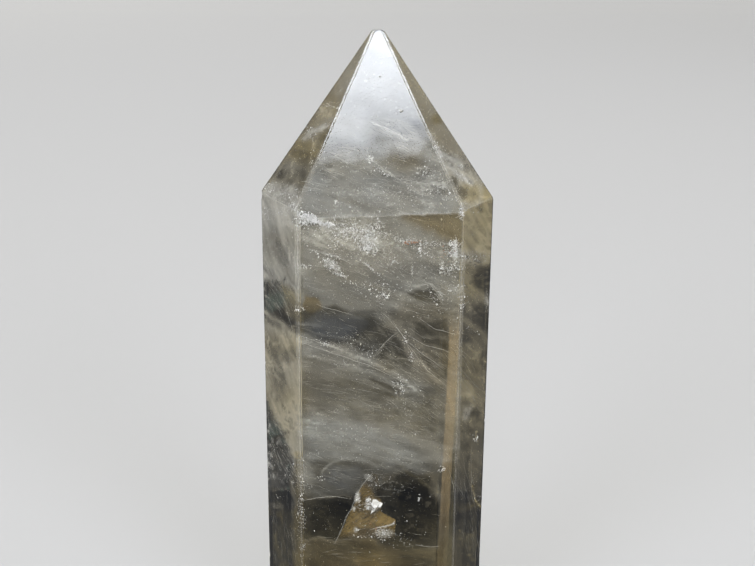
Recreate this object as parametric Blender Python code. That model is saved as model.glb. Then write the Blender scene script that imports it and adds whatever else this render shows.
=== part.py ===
"""Lightning quartz point: a six-sided tower of veiled quartz, cut and polished.

One closed solid in metres, +Z up, standing on its sawn base with the origin in the middle
of the base. The prism is a flattened hexagon whose faces all meet at 120 degrees, as quartz
grows. Six steeper faces close it to a tip that is worn flat. They meet the prism's edges at
slightly different heights, so the shoulder isn't quite level. The polished edges are broken
by a narrow flat, and carry the small shell-shaped nicks and pits that handling leaves.
"""

import math
import random
from dataclasses import dataclass

import bmesh
import bpy
from mathutils import Vector

# Driving dimensions, in metres
HEIGHT = 0.110  # base to tip
WIDTH = 0.036  # across the two side edges, before they are broken
DEPTH = 0.0215  # front face to back face
FRONT_LEFT_X = -0.01167  # the two edges of the wide front face
FRONT_RIGHT_X = 0.01282
APEX_HEIGHT = 0.11145  # where the faces of the point would meet, above the worn tip
EDGE_FLAT = 0.00022  # how far the polish breaks the edges of prism and point
BASE_FLAT = 0.0007  # the wider break round the sawn base

# The faces of the prism meet at 120 degrees, so a side face leans 60 degrees to the front
SIDE_SLOPE = math.tan(math.radians(60.0))

# The six corners of the outline, counterclockwise from the front left one
FRONT_LEFT, FRONT_RIGHT, RIGHT, BACK_RIGHT, BACK_LEFT, LEFT = range(6)

# How far the middle of a nick's cutter stands off the edge, as a share of its radius
NICK_STANDOFF = 0.62
NICK_LENGTH = 1.35  # a nick is longer along its edge than it is wide
PIT_STANDOFF = 0.70
NICK_ROUGHNESS = 0.16  # how far the cutter's points stray from a ball
NICK_SEED = 11


@dataclass(frozen=True)
class PointFace:
    """A face of the point, over the prism face that runs on from a corner of the outline.

    The heights are where its plane meets the prism's edges at that corner and the next.
    """

    corner: int
    height: float
    next_height: float


@dataclass(frozen=True)
class Nick:
    """A shell-shaped chip at a height on one of the six long edges."""

    corner: int
    height: float
    radius: float


@dataclass(frozen=True)
class Pit:
    """A shallow pit in the front face of the point, sideways from its middle."""

    x: float
    height: float
    radius: float


POINT_FACES = (
    PointFace(FRONT_LEFT, 0.0839, 0.0850),
    PointFace(FRONT_RIGHT, 0.0853, 0.0851),
    PointFace(RIGHT, 0.0849, 0.0858),
    PointFace(BACK_RIGHT, 0.0853, 0.0843),
    PointFace(BACK_LEFT, 0.0849, 0.0854),
    PointFace(LEFT, 0.0852, 0.0850),
)

NICKS = (
    # a row of chips on the front left edge
    Nick(FRONT_LEFT, 0.0384, 0.00060),
    Nick(FRONT_LEFT, 0.0369, 0.00085),
    Nick(FRONT_LEFT, 0.0352, 0.00055),
    Nick(FRONT_LEFT, 0.0291, 0.00070),
    Nick(FRONT_LEFT, 0.0132, 0.00095),
    # bruises at the shoulders
    Nick(FRONT_LEFT, 0.0838, 0.00095),
    Nick(FRONT_RIGHT, 0.0850, 0.00120),
    Nick(LEFT, 0.0846, 0.00090),
    Nick(BACK_LEFT, 0.0843, 0.00080),
    # single nicks elsewhere
    Nick(FRONT_RIGHT, 0.0655, 0.00055),
    Nick(FRONT_RIGHT, 0.0187, 0.00075),
    Nick(RIGHT, 0.0478, 0.00070),
    Nick(RIGHT, 0.0093, 0.00090),
    Nick(LEFT, 0.0567, 0.00060),
    Nick(LEFT, 0.0215, 0.00080),
    Nick(BACK_RIGHT, 0.0716, 0.00075),
    Nick(BACK_RIGHT, 0.0331, 0.00100),
    Nick(BACK_LEFT, 0.0412, 0.00065),
)

PITS = (
    Pit(0.0004, 0.1036, 0.00030),
    Pit(0.0036, 0.0989, 0.00034),
    Pit(-0.0027, 0.0934, 0.00026),
    Pit(0.0051, 0.0893, 0.00030),
)


def clear_scene() -> None:
    """Remove whatever the open file holds."""
    for thing in list(bpy.data.objects):
        bpy.data.objects.remove(thing, do_unlink=True)


def outline() -> list[Vector]:
    """Give the prism's six corners in plan, counterclockwise from the front left one."""
    front_y = -DEPTH / 2.0
    back_y = DEPTH / 2.0
    left_y = front_y + (FRONT_LEFT_X + WIDTH / 2.0) * SIDE_SLOPE
    right_y = front_y + (WIDTH / 2.0 - FRONT_RIGHT_X) * SIDE_SLOPE
    back_left_x = -WIDTH / 2.0 + (back_y - left_y) / SIDE_SLOPE
    back_right_x = WIDTH / 2.0 - (back_y - right_y) / SIDE_SLOPE
    return [
        Vector((FRONT_LEFT_X, front_y, 0.0)),
        Vector((FRONT_RIGHT_X, front_y, 0.0)),
        Vector((WIDTH / 2.0, right_y, 0.0)),
        Vector((back_right_x, back_y, 0.0)),
        Vector((back_left_x, back_y, 0.0)),
        Vector((-WIDTH / 2.0, left_y, 0.0)),
    ]


def point_plane(face: PointFace) -> tuple[Vector, Vector]:
    """Give a spot on a face of the point and the face's outward normal."""
    corners = outline()
    first = corners[face.corner] + Vector((0.0, 0.0, face.height))
    second = corners[(face.corner + 1) % 6] + Vector((0.0, 0.0, face.next_height))
    apex = Vector((0.0, 0.0, APEX_HEIGHT))
    return first, (second - first).cross(apex - first).normalized()


def prism() -> bmesh.types.BMesh:
    """Make the six-sided prism, from the base to above the apex."""
    mesh = bmesh.new()
    base = mesh.faces.new([mesh.verts.new(corner) for corner in outline()])
    risen = bmesh.ops.extrude_face_region(mesh, geom=[base])["geom"]
    top = [item for item in risen if isinstance(item, bmesh.types.BMVert)]
    bmesh.ops.translate(mesh, verts=top, vec=(0.0, 0.0, APEX_HEIGHT * 1.1))
    bmesh.ops.recalc_face_normals(mesh, faces=mesh.faces)
    return mesh


def saw(mesh: bmesh.types.BMesh, spot: Vector, normal: Vector) -> None:
    """Take away what lies beyond a plane, and close the cut with one flat face."""
    everything = mesh.verts[:] + mesh.edges[:] + mesh.faces[:]
    bmesh.ops.bisect_plane(mesh, geom=everything, plane_co=spot, plane_no=normal, clear_outer=True)
    open_edges = [edge for edge in mesh.edges if edge.is_boundary]
    bmesh.ops.edgeloop_fill(mesh, edges=open_edges)
    bmesh.ops.recalc_face_normals(mesh, faces=mesh.faces)


def is_polished_edge(edge: bmesh.types.BMEdge) -> bool:
    """Tell the long and sloping edges from those of the base and of the small tip."""
    top = max(v.co.z for v in edge.verts)
    bottom = min(v.co.z for v in edge.verts)
    return top > BASE_FLAT * 1.5 and bottom < HEIGHT - EDGE_FLAT


def point_mesh() -> bpy.types.Mesh:
    """Make the prism with its point, every edge broken by the polish."""
    mesh = prism()
    for face in POINT_FACES:
        saw(mesh, *point_plane(face))
    saw(mesh, Vector((0.0, 0.0, HEIGHT)), Vector((0.0, 0.0, 1.0)))

    base_edges = [e for e in mesh.edges if all(v.co.z < EDGE_FLAT for v in e.verts)]
    bmesh.ops.bevel(mesh, geom=base_edges, offset=BASE_FLAT, segments=1, affect="EDGES")
    polished = [e for e in mesh.edges if is_polished_edge(e)]
    bmesh.ops.bevel(mesh, geom=polished, offset=EDGE_FLAT, segments=2, affect="EDGES")
    bmesh.ops.recalc_face_normals(mesh, faces=mesh.faces)

    data = bpy.data.meshes.new("quartz_point")
    mesh.to_mesh(data)
    mesh.free()
    return data


def cutter(name: str, centre: Vector, radius: float, length: float, draw: random.Random):
    """Make a rough ball that bites a nick, stretched along Z by the given share."""
    mesh = bmesh.new()
    bmesh.ops.create_icosphere(mesh, subdivisions=2, radius=radius)
    for vertex in mesh.verts:
        vertex.co *= 1.0 + draw.uniform(-NICK_ROUGHNESS, NICK_ROUGHNESS)
        vertex.co.z *= length
    data = bpy.data.meshes.new(name)
    mesh.to_mesh(data)
    mesh.free()
    ball = bpy.data.objects.new(name, data)
    ball.location = centre
    ball.hide_render = True
    ball.display_type = "WIRE"
    bpy.context.scene.collection.objects.link(ball)
    return ball


def cut(body: bpy.types.Object, tool: bpy.types.Object) -> None:
    """Take a cutter out of the crystal."""
    modifier = body.modifiers.new(tool.name, "BOOLEAN")
    modifier.operation = "DIFFERENCE"
    modifier.solver = "EXACT"
    modifier.object = tool


def add_nicks(body: bpy.types.Object, draw: random.Random) -> None:
    """Chip the long edges."""
    corners = outline()
    for number, nick in enumerate(NICKS):
        corner = corners[nick.corner]
        outward = corner.normalized() * nick.radius * NICK_STANDOFF
        centre = Vector((corner.x, corner.y, nick.height)) + outward
        cut(body, cutter(f"nick_{number}", centre, nick.radius, NICK_LENGTH, draw))


def add_pits(body: bpy.types.Object, draw: random.Random) -> None:
    """Dent the front face of the point."""
    spot, normal = point_plane(POINT_FACES[0])
    for number, pit in enumerate(PITS):
        offset = normal.x * (pit.x - spot.x) + normal.z * (pit.height - spot.z)
        on_face = Vector((pit.x, spot.y - offset / normal.y, pit.height))
        centre = on_face + normal * pit.radius * PIT_STANDOFF
        cut(body, cutter(f"pit_{number}", centre, pit.radius, 1.0, draw))


def quartz() -> bpy.types.Material:
    """Make the clear, slightly smoky quartz."""
    material = bpy.data.materials.new("quartz")
    material.use_nodes = True
    shader = material.node_tree.nodes["Principled BSDF"]
    shader.inputs["Base Color"].default_value = (0.80, 0.77, 0.68, 1.0)
    shader.inputs["Roughness"].default_value = 0.04
    shader.inputs["Metallic"].default_value = 0.0
    shader.inputs["Transmission Weight"].default_value = 1.0
    shader.inputs["IOR"].default_value = 1.544
    return material


def quartz_point() -> bpy.types.Object:
    """Build the finished crystal."""
    body = bpy.data.objects.new("quartz_point", point_mesh())
    bpy.context.scene.collection.objects.link(body)
    body.data.materials.append(quartz())
    draw = random.Random(NICK_SEED)
    add_nicks(body, draw)
    add_pits(body, draw)
    return body


clear_scene()
quartz_point()
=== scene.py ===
"""Looks of the lightning quartz point.

The solid keeps its own shape and gets a clear, faintly smoky body. Inside it lie the veils,
fractures, threads and sparks that give this kind of quartz its name. They are thin sheets and
small flakes, set by where they show through a face and how deep they lie behind it.

Inside the crystal, places and sizes are in millimetres. A place is (x, z): x to the right of the
long axis and z above the base, both as they show on the plane of the wide front face. The studio
and the finished meshes are in metres.
"""

import sys
import logging
import math
from dataclasses import dataclass
from enum import Enum

import bpy
import numpy as np
from mathutils import Matrix, Vector


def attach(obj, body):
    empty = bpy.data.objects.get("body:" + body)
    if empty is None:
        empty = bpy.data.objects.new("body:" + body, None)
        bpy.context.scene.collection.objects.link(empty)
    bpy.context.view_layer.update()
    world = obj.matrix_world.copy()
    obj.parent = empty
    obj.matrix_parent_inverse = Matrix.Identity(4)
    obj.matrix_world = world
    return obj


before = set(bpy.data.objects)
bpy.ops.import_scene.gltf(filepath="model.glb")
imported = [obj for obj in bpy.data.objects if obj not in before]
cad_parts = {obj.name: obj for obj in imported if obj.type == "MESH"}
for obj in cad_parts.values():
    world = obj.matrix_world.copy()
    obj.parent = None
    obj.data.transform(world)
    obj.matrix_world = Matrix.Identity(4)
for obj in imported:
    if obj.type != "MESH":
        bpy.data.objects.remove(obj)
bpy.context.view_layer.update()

log = logging.getLogger("quartz_point")

NODE = "quartz_point"
BODY = "root"
MM = 0.001
QUARTZ_IOR = 1.544
GLINT = np.array((0.0, -0.92, 0.39))  # where a flake faces that catches the light
TIP_TILT = 25.0  # degrees above the horizon, roughly, that the point's faces look
DOWNWARD = -0.9  # a face whose normal points down more than this belongs to the sawn base
FAR = 1e9  # millimetres, farther off than anything

# The frame is this many pixels wide, on a sensor of this many millimetres
PICTURE_WIDTH = 755
SENSOR_WIDTH = 36.0

Array = np.ndarray
Spot2 = tuple[float, float]
Colour = tuple[float, float, float, float]


# ------------------------------------------------------------------ the crystal's own geometry


@dataclass(frozen=True)
class Plane:
    """A flat face of the crystal: its outward normal and its distance from the origin."""

    normal: Array
    offset: float

    def depth(self, points: Array) -> Array:
        """Tell how deep points lie below the face.

        Args:
            points: positions in metres, the last axis being x, y, z.

        Returns:
            The depths in metres, negative outside the crystal.
        """
        return self.offset - points @ self.normal


class Crystal:
    """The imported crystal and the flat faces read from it."""

    smallest_face = 60e-6  # square metres: nicks and broken edges are smaller
    same_direction = 0.9995  # cosine of the angle that triangles of one face may differ by
    same_plane = 0.03 * MM  # how far off a face its triangles may lie

    def __init__(self, node: bpy.types.Object) -> None:
        """Read the flat faces.

        Args:
            node: the crystal's object from the frame.
        """
        mesh = node.data
        corners = np.array([v.co for v in mesh.vertices])
        self.triangles = np.array([corners[list(p.vertices)] for p in mesh.polygons])
        edges_a = self.triangles[:, 1] - self.triangles[:, 0]
        edges_b = self.triangles[:, 2] - self.triangles[:, 0]
        crosses = np.cross(edges_a, edges_b)
        doubled = np.linalg.norm(crosses, axis=1)
        self.normals = crosses / np.maximum(doubled, 1e-15)[:, None]
        self.areas = doubled / 2.0
        self.planes = self._find_planes()

    def _find_planes(self) -> list[Plane]:
        """Gather the triangles that share a plane, the largest first."""
        found: list[Plane] = []
        left = np.ones(len(self.areas), bool)
        for i in np.argsort(-self.areas):
            if not left[i]:
                continue
            plane = Plane(self.normals[i].copy(), float(self.normals[i] @ self.triangles[i, 0]))
            same = left & self.lying_on(plane)
            left &= ~same
            if self.areas[same].sum() > self.smallest_face:
                found.append(plane)
        return found

    def lying_on(self, plane: Plane) -> Array:
        """Tell which of the triangles lie on a plane and face the same way."""
        away = np.abs(plane.depth(self.triangles)).max(axis=1)
        return (self.normals @ plane.normal > self.same_direction) & (away < self.same_plane)

    def facing(self, azimuth: float, tilt: float = 0.0) -> Plane:
        """Give the flat face that looks most nearly in a direction.

        Args:
            azimuth: degrees round the long axis, 0 for the front and 90 for the right.
            tilt: degrees above the horizon.

        Returns:
            The face.
        """
        turn, lift = math.radians(azimuth), math.radians(tilt)
        way = np.array([math.sin(turn) * math.cos(lift), -math.cos(turn) * math.cos(lift), math.sin(lift)])
        return max(self.planes, key=lambda plane: float(plane.normal @ way))

    def seen(self, tilt: float = 0.0) -> list[Plane]:
        """Give the left, the wide front and the right face: the prism's, or the point's by their tilt."""
        return [self.facing(azimuth, tilt) for azimuth in (-60, 0, 60)]

    def depth(self, points: Array) -> Array:
        """Tell how deep points lie inside the crystal, below whichever face is nearest."""
        return np.min([plane.depth(points) for plane in self.planes], axis=0)


@dataclass(frozen=True)
class Sight:
    """Looks into the crystal from where the camera stands, through the faces that it sees."""

    eye: Array
    front: Plane

    def place(self, x: Array, z: Array, depth: Array, face: Plane) -> Array:
        """Find what shows at a place on the front, at a depth behind a face.

        Args:
            x: millimetres to the right of the long axis, on the plane of the front face.
            z: millimetres above the base, on the same plane.
            depth: millimetres below the face looked through.
            face: the face looked through.

        Returns:
            Positions in metres, the last axis being x, y, z.
        """
        x, z, depth = np.broadcast_arrays(x, z, depth)
        on_front = np.stack([x * MM, np.full(x.shape, -self.front.offset), z * MM], axis=-1)
        way = on_front - self.eye
        way /= np.linalg.norm(way, axis=-1, keepdims=True)
        facing = -(way @ face.normal)
        reach = (self.eye @ face.normal - face.offset) / facing
        entry = self.eye + way * reach[..., None]
        ratio = 1.0 / QUARTZ_IOR
        bent = np.sqrt(1.0 - ratio**2 * (1.0 - facing**2))
        inward = ratio * way + (ratio * facing - bent)[..., None] * face.normal
        return entry + inward * (depth * MM / bent)[..., None]


# ------------------------------------------------------------------ noise and painting


@dataclass(frozen=True)
class Noise:
    """Seeded smooth noise over a plane, from 0 to 1."""

    seed: int

    across_prime, up_prime, seed_prime, mixing_prime = 374761393, 668265263, 974634777, 1274126177
    low_word, low_half = 0xFFFFFFFF, 0xFFFF
    octave_shift = 17.3  # keeps the octaves' grids apart

    def _corner(self, column: Array, row: Array) -> Array:
        """Give each corner of the noise's grid its own fixed number."""
        mixed = column.astype(np.int64) * self.across_prime + row.astype(np.int64) * self.up_prime
        mixed = (mixed + self.seed * self.seed_prime) & self.low_word
        mixed = ((mixed ^ (mixed >> 13)) * self.mixing_prime) & self.low_word
        return ((mixed ^ (mixed >> 16)) & self.low_half) / float(self.low_half)

    def smooth(self, x: Array, z: Array) -> Array:
        """Give one octave, with a grid spacing of 1."""
        column, row = np.floor(x), np.floor(z)
        right, up = x - column, z - row
        right = right * right * (3.0 - 2.0 * right)
        up = up * up * (3.0 - 2.0 * up)
        low = self._corner(column, row) * (1.0 - right) + self._corner(column + 1, row) * right
        high = self._corner(column, row + 1) * (1.0 - right) + self._corner(column + 1, row + 1) * right
        return low * (1.0 - up) + high * up

    def cloudy(self, x: Array, z: Array, octaves: int = 4) -> Array:
        """Give several octaves added together.

        Args:
            x: places along one axis, in units of the largest swirl.
            z: places along the other.
            octaves: how many, each half as large as the one before.

        Returns:
            Noise from 0 to 1, around 0.5.
        """
        total, weight = np.zeros(np.broadcast(x, z).shape), 0.0
        for octave in range(octaves):
            share = 0.5**octave
            shift = self.octave_shift * octave
            total += share * self.smooth(x * 2.0**octave + shift, z * 2.0**octave - shift)
            weight += share
        return total / weight

    def combed(
        self, x: Array, z: Array, angle: float, length: float, width: float, octaves: int
    ) -> Array:
        """Give cloudy noise drawn out along a direction, like brushed hair.

        Args:
            x: millimetres to the right.
            z: millimetres up.
            angle: direction of the strands, in degrees above the x axis.
            length: millimetres along a strand.
            width: millimetres across it.
            octaves: how fine it goes.

        Returns:
            Noise from 0 to 1.
        """
        turn = math.radians(angle)
        along = x * math.cos(turn) + z * math.sin(turn)
        across = -x * math.sin(turn) + z * math.cos(turn)
        bend = self.smooth(along / length * 0.7, across / length * 0.7 + 9.1) - 0.5
        return self.cloudy(along / length, (across + width * 1.5 * bend) / width, octaves)

    def filaments(self, x: Array, z: Array, angle: float, length: float, width: float) -> Array:
        """Give thin bright wisps that bend along a direction.

        Args:
            x: millimetres to the right.
            z: millimetres up.
            angle: direction of the wisps, in degrees above the x axis.
            length: millimetres along a wisp.
            width: millimetres between neighbours.

        Returns:
            1 along the middle of a wisp, falling to 0 beside it.
        """
        bent_x = x + 3.0 * (self.cloudy(x / 8.0 + 5.0, z / 8.0, 3) - 0.5)
        bent_z = z + 4.0 * (self.cloudy(x / 8.0, z / 8.0 + 11.0, 3) - 0.5)
        strands = self.combed(bent_x, bent_z, angle, length, width, 5)
        sharpness = 18.0
        return np.clip(1.0 - np.abs(strands - 0.5) * sharpness, 0.0, 1.0)


def smooth_step(low: float, high: float, value: Array) -> Array:
    """Rise smoothly from 0 at low to 1 at high."""
    share = np.clip((value - low) / (high - low), 0.0, 1.0)
    return share * share * (3.0 - 2.0 * share)


def to_stretch(x: Array, z: Array, start: Spot2, end: Spot2) -> tuple[Array, Array]:
    """Measure places against a straight stretch.

    Args:
        x: millimetres to the right.
        z: millimetres up.
        start: where the stretch begins.
        end: where it ends.

    Returns:
        The distance to it and the share of it passed at the nearest spot.
    """
    run, rise = end[0] - start[0], end[1] - start[1]
    share = ((x - start[0]) * run + (z - start[1]) * rise) / max(run * run + rise * rise, 1e-9)
    share = np.clip(share, 0.0, 1.0)
    return np.hypot(x - start[0] - share * run, z - start[1] - share * rise), share


@dataclass(frozen=True)
class Cloud:
    """A soft oval of a value."""

    x: float
    z: float
    wide: float
    high: float
    value: float
    strength: float = 0.8
    angle: float = 0.0

    full, gone = 0.35, 1.25  # shares of its reach at which it starts to fade and has faded out

    def mask(self, x: Array, z: Array) -> Array:
        """Give the oval's share at each place, falling off smoothly from its middle."""
        turn = math.radians(self.angle)
        dx, dz = x - self.x, z - self.z
        along = dx * math.cos(turn) + dz * math.sin(turn)
        across = -dx * math.sin(turn) + dz * math.cos(turn)
        far = np.hypot(along / self.wide, across / self.high)
        return self.strength * (1.0 - smooth_step(self.full, self.gone, far))


@dataclass(frozen=True)
class Stroke:
    """A soft line of a value through some points."""

    points: tuple[Spot2, ...]
    half: float
    value: float
    strength: float = 0.8

    def mask(self, x: Array, z: Array) -> Array:
        """Give the line's share at each place."""
        near = np.full(x.shape, FAR)
        for start, end in zip(self.points, self.points[1:]):
            near = np.minimum(near, to_stretch(x, z, start, end)[0])
        return self.strength * np.exp(-((near / self.half) ** 2))


@dataclass(frozen=True)
class Patch:
    """A many-cornered area of a value, with a soft rim."""

    points: tuple[Spot2, ...]
    value: float
    rim: float = 0.8

    def mask(self, x: Array, z: Array) -> Array:
        """Give the area's share at each place."""
        near = np.full(x.shape, FAR)
        inside = np.zeros(x.shape, bool)
        for start, end in zip(self.points, self.points[1:] + self.points[:1]):
            near = np.minimum(near, to_stretch(x, z, start, end)[0])
            if start[1] != end[1]:
                crossing = start[0] + (z - start[1]) * (end[0] - start[0]) / (end[1] - start[1])
                inside ^= ((start[1] > z) != (end[1] > z)) & (x < crossing)
        signed = np.where(inside, near, -near)
        return smooth_step(-self.rim, self.rim, signed)


@dataclass(frozen=True)
class Brush:
    """Many soft strokes that run nearly the same way, scattered over an oval.

    It gives the oval's middle and reach, and the strokes' direction in degrees, value, strength,
    number, length, half width and spread of direction, with the seed of their random draws.
    """

    x: float
    z: float
    wide: float
    high: float
    angle: float
    value: float
    strength: float
    count: int
    length: float
    half: float
    spread: float
    seed: int

    def mask(self, x: Array, z: Array) -> Array:
        """Give the strokes' share at each place."""
        draw = np.random.default_rng(self.seed)
        turn = math.radians(self.angle)
        covered = np.zeros(x.shape)
        for _ in range(self.count):
            along, across = draw.normal(0.0, 0.35, 2) * (self.wide, self.high)
            middle_x = self.x + along * math.cos(turn) - across * math.sin(turn)
            middle_z = self.z + along * math.sin(turn) + across * math.cos(turn)
            own = turn + math.radians(draw.normal(0.0, self.spread))
            reach = self.length * draw.uniform(0.4, 1.0) / 2.0
            run, rise = reach * math.cos(own), reach * math.sin(own)
            start, end = (middle_x - run, middle_z - rise), (middle_x + run, middle_z + rise)
            near, share = to_stretch(x, z, start, end)
            half = self.half * draw.uniform(0.5, 1.5)
            ends = 1.0 - (2.0 * share - 1.0) ** 2
            stroke = draw.uniform(0.4, 1.0) * ends * np.exp(-((near / half) ** 2))
            covered = np.maximum(covered, stroke)
        return self.strength * covered


Mark = Cloud | Stroke | Patch | Brush


def paint(base: Array, marks: tuple[Mark, ...], x: Array, z: Array) -> Array:
    """Lay marks over a base, one after another.

    Args:
        base: the value to start from at each place.
        marks: what is laid over it, in order.
        x: millimetres to the right.
        z: millimetres up.

    Returns:
        The painted values.
    """
    painted = np.array(np.broadcast_to(base, x.shape), float)
    for mark in marks:
        share = mark.mask(x, z)
        painted = painted * (1.0 - share) + mark.value * share
    return painted


# ------------------------------------------------------------------ finishes


class Graph:
    """Places nodes in a tree and joins them."""

    def __init__(self, tree: bpy.types.NodeTree) -> None:
        """Take the tree to build in."""
        self.tree = tree

    def add(self, kind: str, inputs: dict | None = None, **settings) -> bpy.types.Node:
        """Add a node.

        Args:
            kind: Blender's name for the node's type.
            inputs: fixed values, or outputs of other nodes, by the socket's name or number.
            settings: the node's own settings.

        Returns:
            The node.
        """
        node = self.tree.nodes.new(kind)
        for name, value in settings.items():
            setattr(node, name, value)
        for socket, value in (inputs or {}).items():
            if isinstance(value, bpy.types.NodeSocket):
                self.tree.links.new(value, node.inputs[socket])
            else:
                node.inputs[socket].default_value = value
        return node

    def math(self, operation: str, first, second=0.0, clamp: bool = False) -> bpy.types.NodeSocket:
        """Add a Math node and give its result."""
        node = self.add("ShaderNodeMath", {0: first, 1: second}, operation=operation, use_clamp=clamp)
        return node.outputs[0]

    def blend(self, share, first, second) -> bpy.types.NodeSocket:
        """Mix two colours by a share and give the result."""
        node = self.add("ShaderNodeMix", data_type="RGBA")
        for number, value in ((0, share), (6, first), (7, second)):
            if isinstance(value, bpy.types.NodeSocket):
                self.tree.links.new(value, node.inputs[number])
            else:
                node.inputs[number].default_value = value
        return node.outputs[2]

    def link(self, output: bpy.types.NodeSocket, socket: bpy.types.NodeSocket) -> None:
        """Join an output to an input."""
        self.tree.links.new(output, socket)


def new_group(
    name: str, inputs: dict[str, float], outputs: tuple[str, ...]
) -> tuple[Graph, bpy.types.Node, bpy.types.Node]:
    """Start a shader node group of plain numbers.

    Args:
        name: the group's name.
        inputs: its inputs, with their usual values.
        outputs: its outputs.

    Returns:
        The graph to build in, the group's input node and its output node.
    """
    tree = bpy.data.node_groups.new(name, "ShaderNodeTree")
    for socket, value in inputs.items():
        made = tree.interface.new_socket(socket, in_out="INPUT", socket_type="NodeSocketFloat")
        made.default_value = value
    for socket in outputs:
        tree.interface.new_socket(socket, in_out="OUTPUT", socket_type="NodeSocketFloat")
    graph = Graph(tree)
    return graph, graph.add("NodeGroupInput"), graph.add("NodeGroupOutput")


def strands_group() -> bpy.types.NodeTree:
    """Make the fine brushed grain of healed fractures: noise drawn out along a direction."""
    usual = {"Fineness": 900.0, "Stretch": 6.0, "Angle": -0.35, "Low": 0.35, "High": 0.7}
    graph, given, out = new_group("strands", usual, ("Mask",))
    place = graph.add("ShaderNodeTexCoord").outputs["Object"]
    turn = {"Vector": place, "Axis": (0.0, 1.0, 0.0), "Angle": given.outputs["Angle"]}
    turned = graph.add("ShaderNodeVectorRotate", turn, rotation_type="AXIS_ANGLE")
    along = graph.math("DIVIDE", given.outputs["Fineness"], given.outputs["Stretch"])
    scale = graph.add("ShaderNodeCombineXYZ", {0: along, 1: along, 2: given.outputs["Fineness"]})
    stretched = {0: turned.outputs[0], 1: scale.outputs[0]}
    drawn = graph.add("ShaderNodeVectorMath", stretched, operation="MULTIPLY")
    grain = {"Vector": drawn.outputs[0], "Scale": 1.0, "Detail": 5.0, "Roughness": 0.62}
    noise = graph.add("ShaderNodeTexNoise", grain)
    low, high = given.outputs["Low"], given.outputs["High"]
    reach = {"Value": noise.outputs[0], "From Min": low, "From Max": high}
    ranged = graph.add("ShaderNodeMapRange", reach, clamp=True)
    graph.link(ranged.outputs[0], out.inputs["Mask"])
    return graph.tree


def dust_group() -> bpy.types.NodeTree:
    """Make pin-point specks: dots of a size, a share of them left out."""
    usual = {"Cells": 3600.0, "Size": 0.30, "Share": 0.12}
    graph, given, out = new_group("dust", usual, ("Mask",))
    place = graph.add("ShaderNodeTexCoord").outputs["Object"]
    cells = graph.add("ShaderNodeTexVoronoi", {"Vector": place, "Scale": given.outputs["Cells"]})
    near = graph.math("LESS_THAN", cells.outputs["Distance"], given.outputs["Size"])
    draw = graph.add("ShaderNodeSeparateColor", {0: cells.outputs["Color"]})
    kept = graph.math("LESS_THAN", draw.outputs[0], given.outputs["Share"])
    graph.link(graph.math("MULTIPLY", near, kept), out.inputs["Mask"])
    return graph.tree


def new_material(name: str) -> tuple[bpy.types.Material, Graph, bpy.types.Node]:
    """Start a material and give its graph and its Principled shader."""
    material = bpy.data.materials.new(name)
    material.use_nodes = True
    return material, Graph(material.node_tree), material.node_tree.nodes["Principled BSDF"]


@dataclass(frozen=True)
class ClearQuartz:
    """The body: clear, polished and faintly smoky, so that long ways through it turn golden."""

    name: str = "clear_quartz"
    tint: Colour = (0.67, 0.62, 0.40, 1.0)
    density: float = 45.0
    roughness: float = 0.015

    def build(self) -> bpy.types.Material:
        """Make the material. Light for the inside passes straight in, so lamps reach the veils."""
        material, graph, shader = new_material(self.name)
        shader.inputs["Base Color"].default_value = (1.0, 1.0, 1.0, 1.0)
        shader.inputs["Roughness"].default_value = self.roughness
        shader.inputs["Transmission Weight"].default_value = 1.0
        shader.inputs["IOR"].default_value = QUARTZ_IOR
        out = material.node_tree.nodes["Material Output"]
        lamp_ray = graph.add("ShaderNodeLightPath").outputs["Is Shadow Ray"]
        through = graph.add("ShaderNodeBsdfTransparent").outputs[0]
        mixed = graph.add("ShaderNodeMixShader", {0: lamp_ray, 1: shader.outputs[0], 2: through})
        graph.link(mixed.outputs[0], out.inputs["Surface"])
        smoke = graph.add("ShaderNodeVolumeAbsorption", {"Color": self.tint, "Density": self.density})
        graph.link(smoke.outputs[0], out.inputs["Volume"])
        return material


@dataclass(frozen=True)
class VeilFinish:
    """A milky healed fracture, or a sheet of painted reflection: its painted cover, broken up by fine strands
    and specks.
    """

    name: str
    pale: Colour = (0.86, 0.87, 0.82, 1.0)
    warm: Colour = (0.54, 0.39, 0.15, 1.0)
    angle: float = -20.0
    fineness: float = 900.0
    stretch: float = 7.0
    broken: float = 0.45
    dust_share: float = 0.10
    dust_cover: float = 0.55
    roughness: float = 0.7
    specular: float = 0.2

    def build(self, strands: bpy.types.NodeTree, dust: bpy.types.NodeTree) -> bpy.types.Material:
        """Make the material.

        Args:
            strands: the group of brushed grain.
            dust: the group of specks.

        Returns:
            The material, which reads the sheet's milk and warmth.
        """
        material, graph, shader = new_material(self.name)
        milk = graph.add("ShaderNodeAttribute", attribute_name="milk").outputs["Fac"]
        warmth = graph.add("ShaderNodeAttribute", attribute_name="warmth").outputs["Fac"]
        grain = graph.add("ShaderNodeGroup", node_tree=strands)
        grain.inputs["Fineness"].default_value = self.fineness
        grain.inputs["Stretch"].default_value = self.stretch
        grain.inputs["Angle"].default_value = math.radians(self.angle)
        specks = graph.add("ShaderNodeGroup", node_tree=dust)
        specks.inputs["Share"].default_value = self.dust_share
        broken = graph.math("MULTIPLY_ADD", grain.outputs["Mask"], self.broken)
        broken.node.inputs[2].default_value = 1.0 - self.broken
        cover = graph.math("MULTIPLY", milk, broken)
        bright = graph.math("MULTIPLY", specks.outputs["Mask"], self.dust_cover)
        dusted = graph.math("MULTIPLY", bright, graph.math("POWER", milk, 0.5))
        graph.link(graph.math("ADD", cover, dusted, clamp=True), shader.inputs["Alpha"])
        graph.link(graph.blend(warmth, self.pale, self.warm), shader.inputs["Base Color"])
        shader.inputs["Roughness"].default_value = self.roughness
        shader.inputs["Specular IOR Level"].default_value = self.specular
        return material


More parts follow.
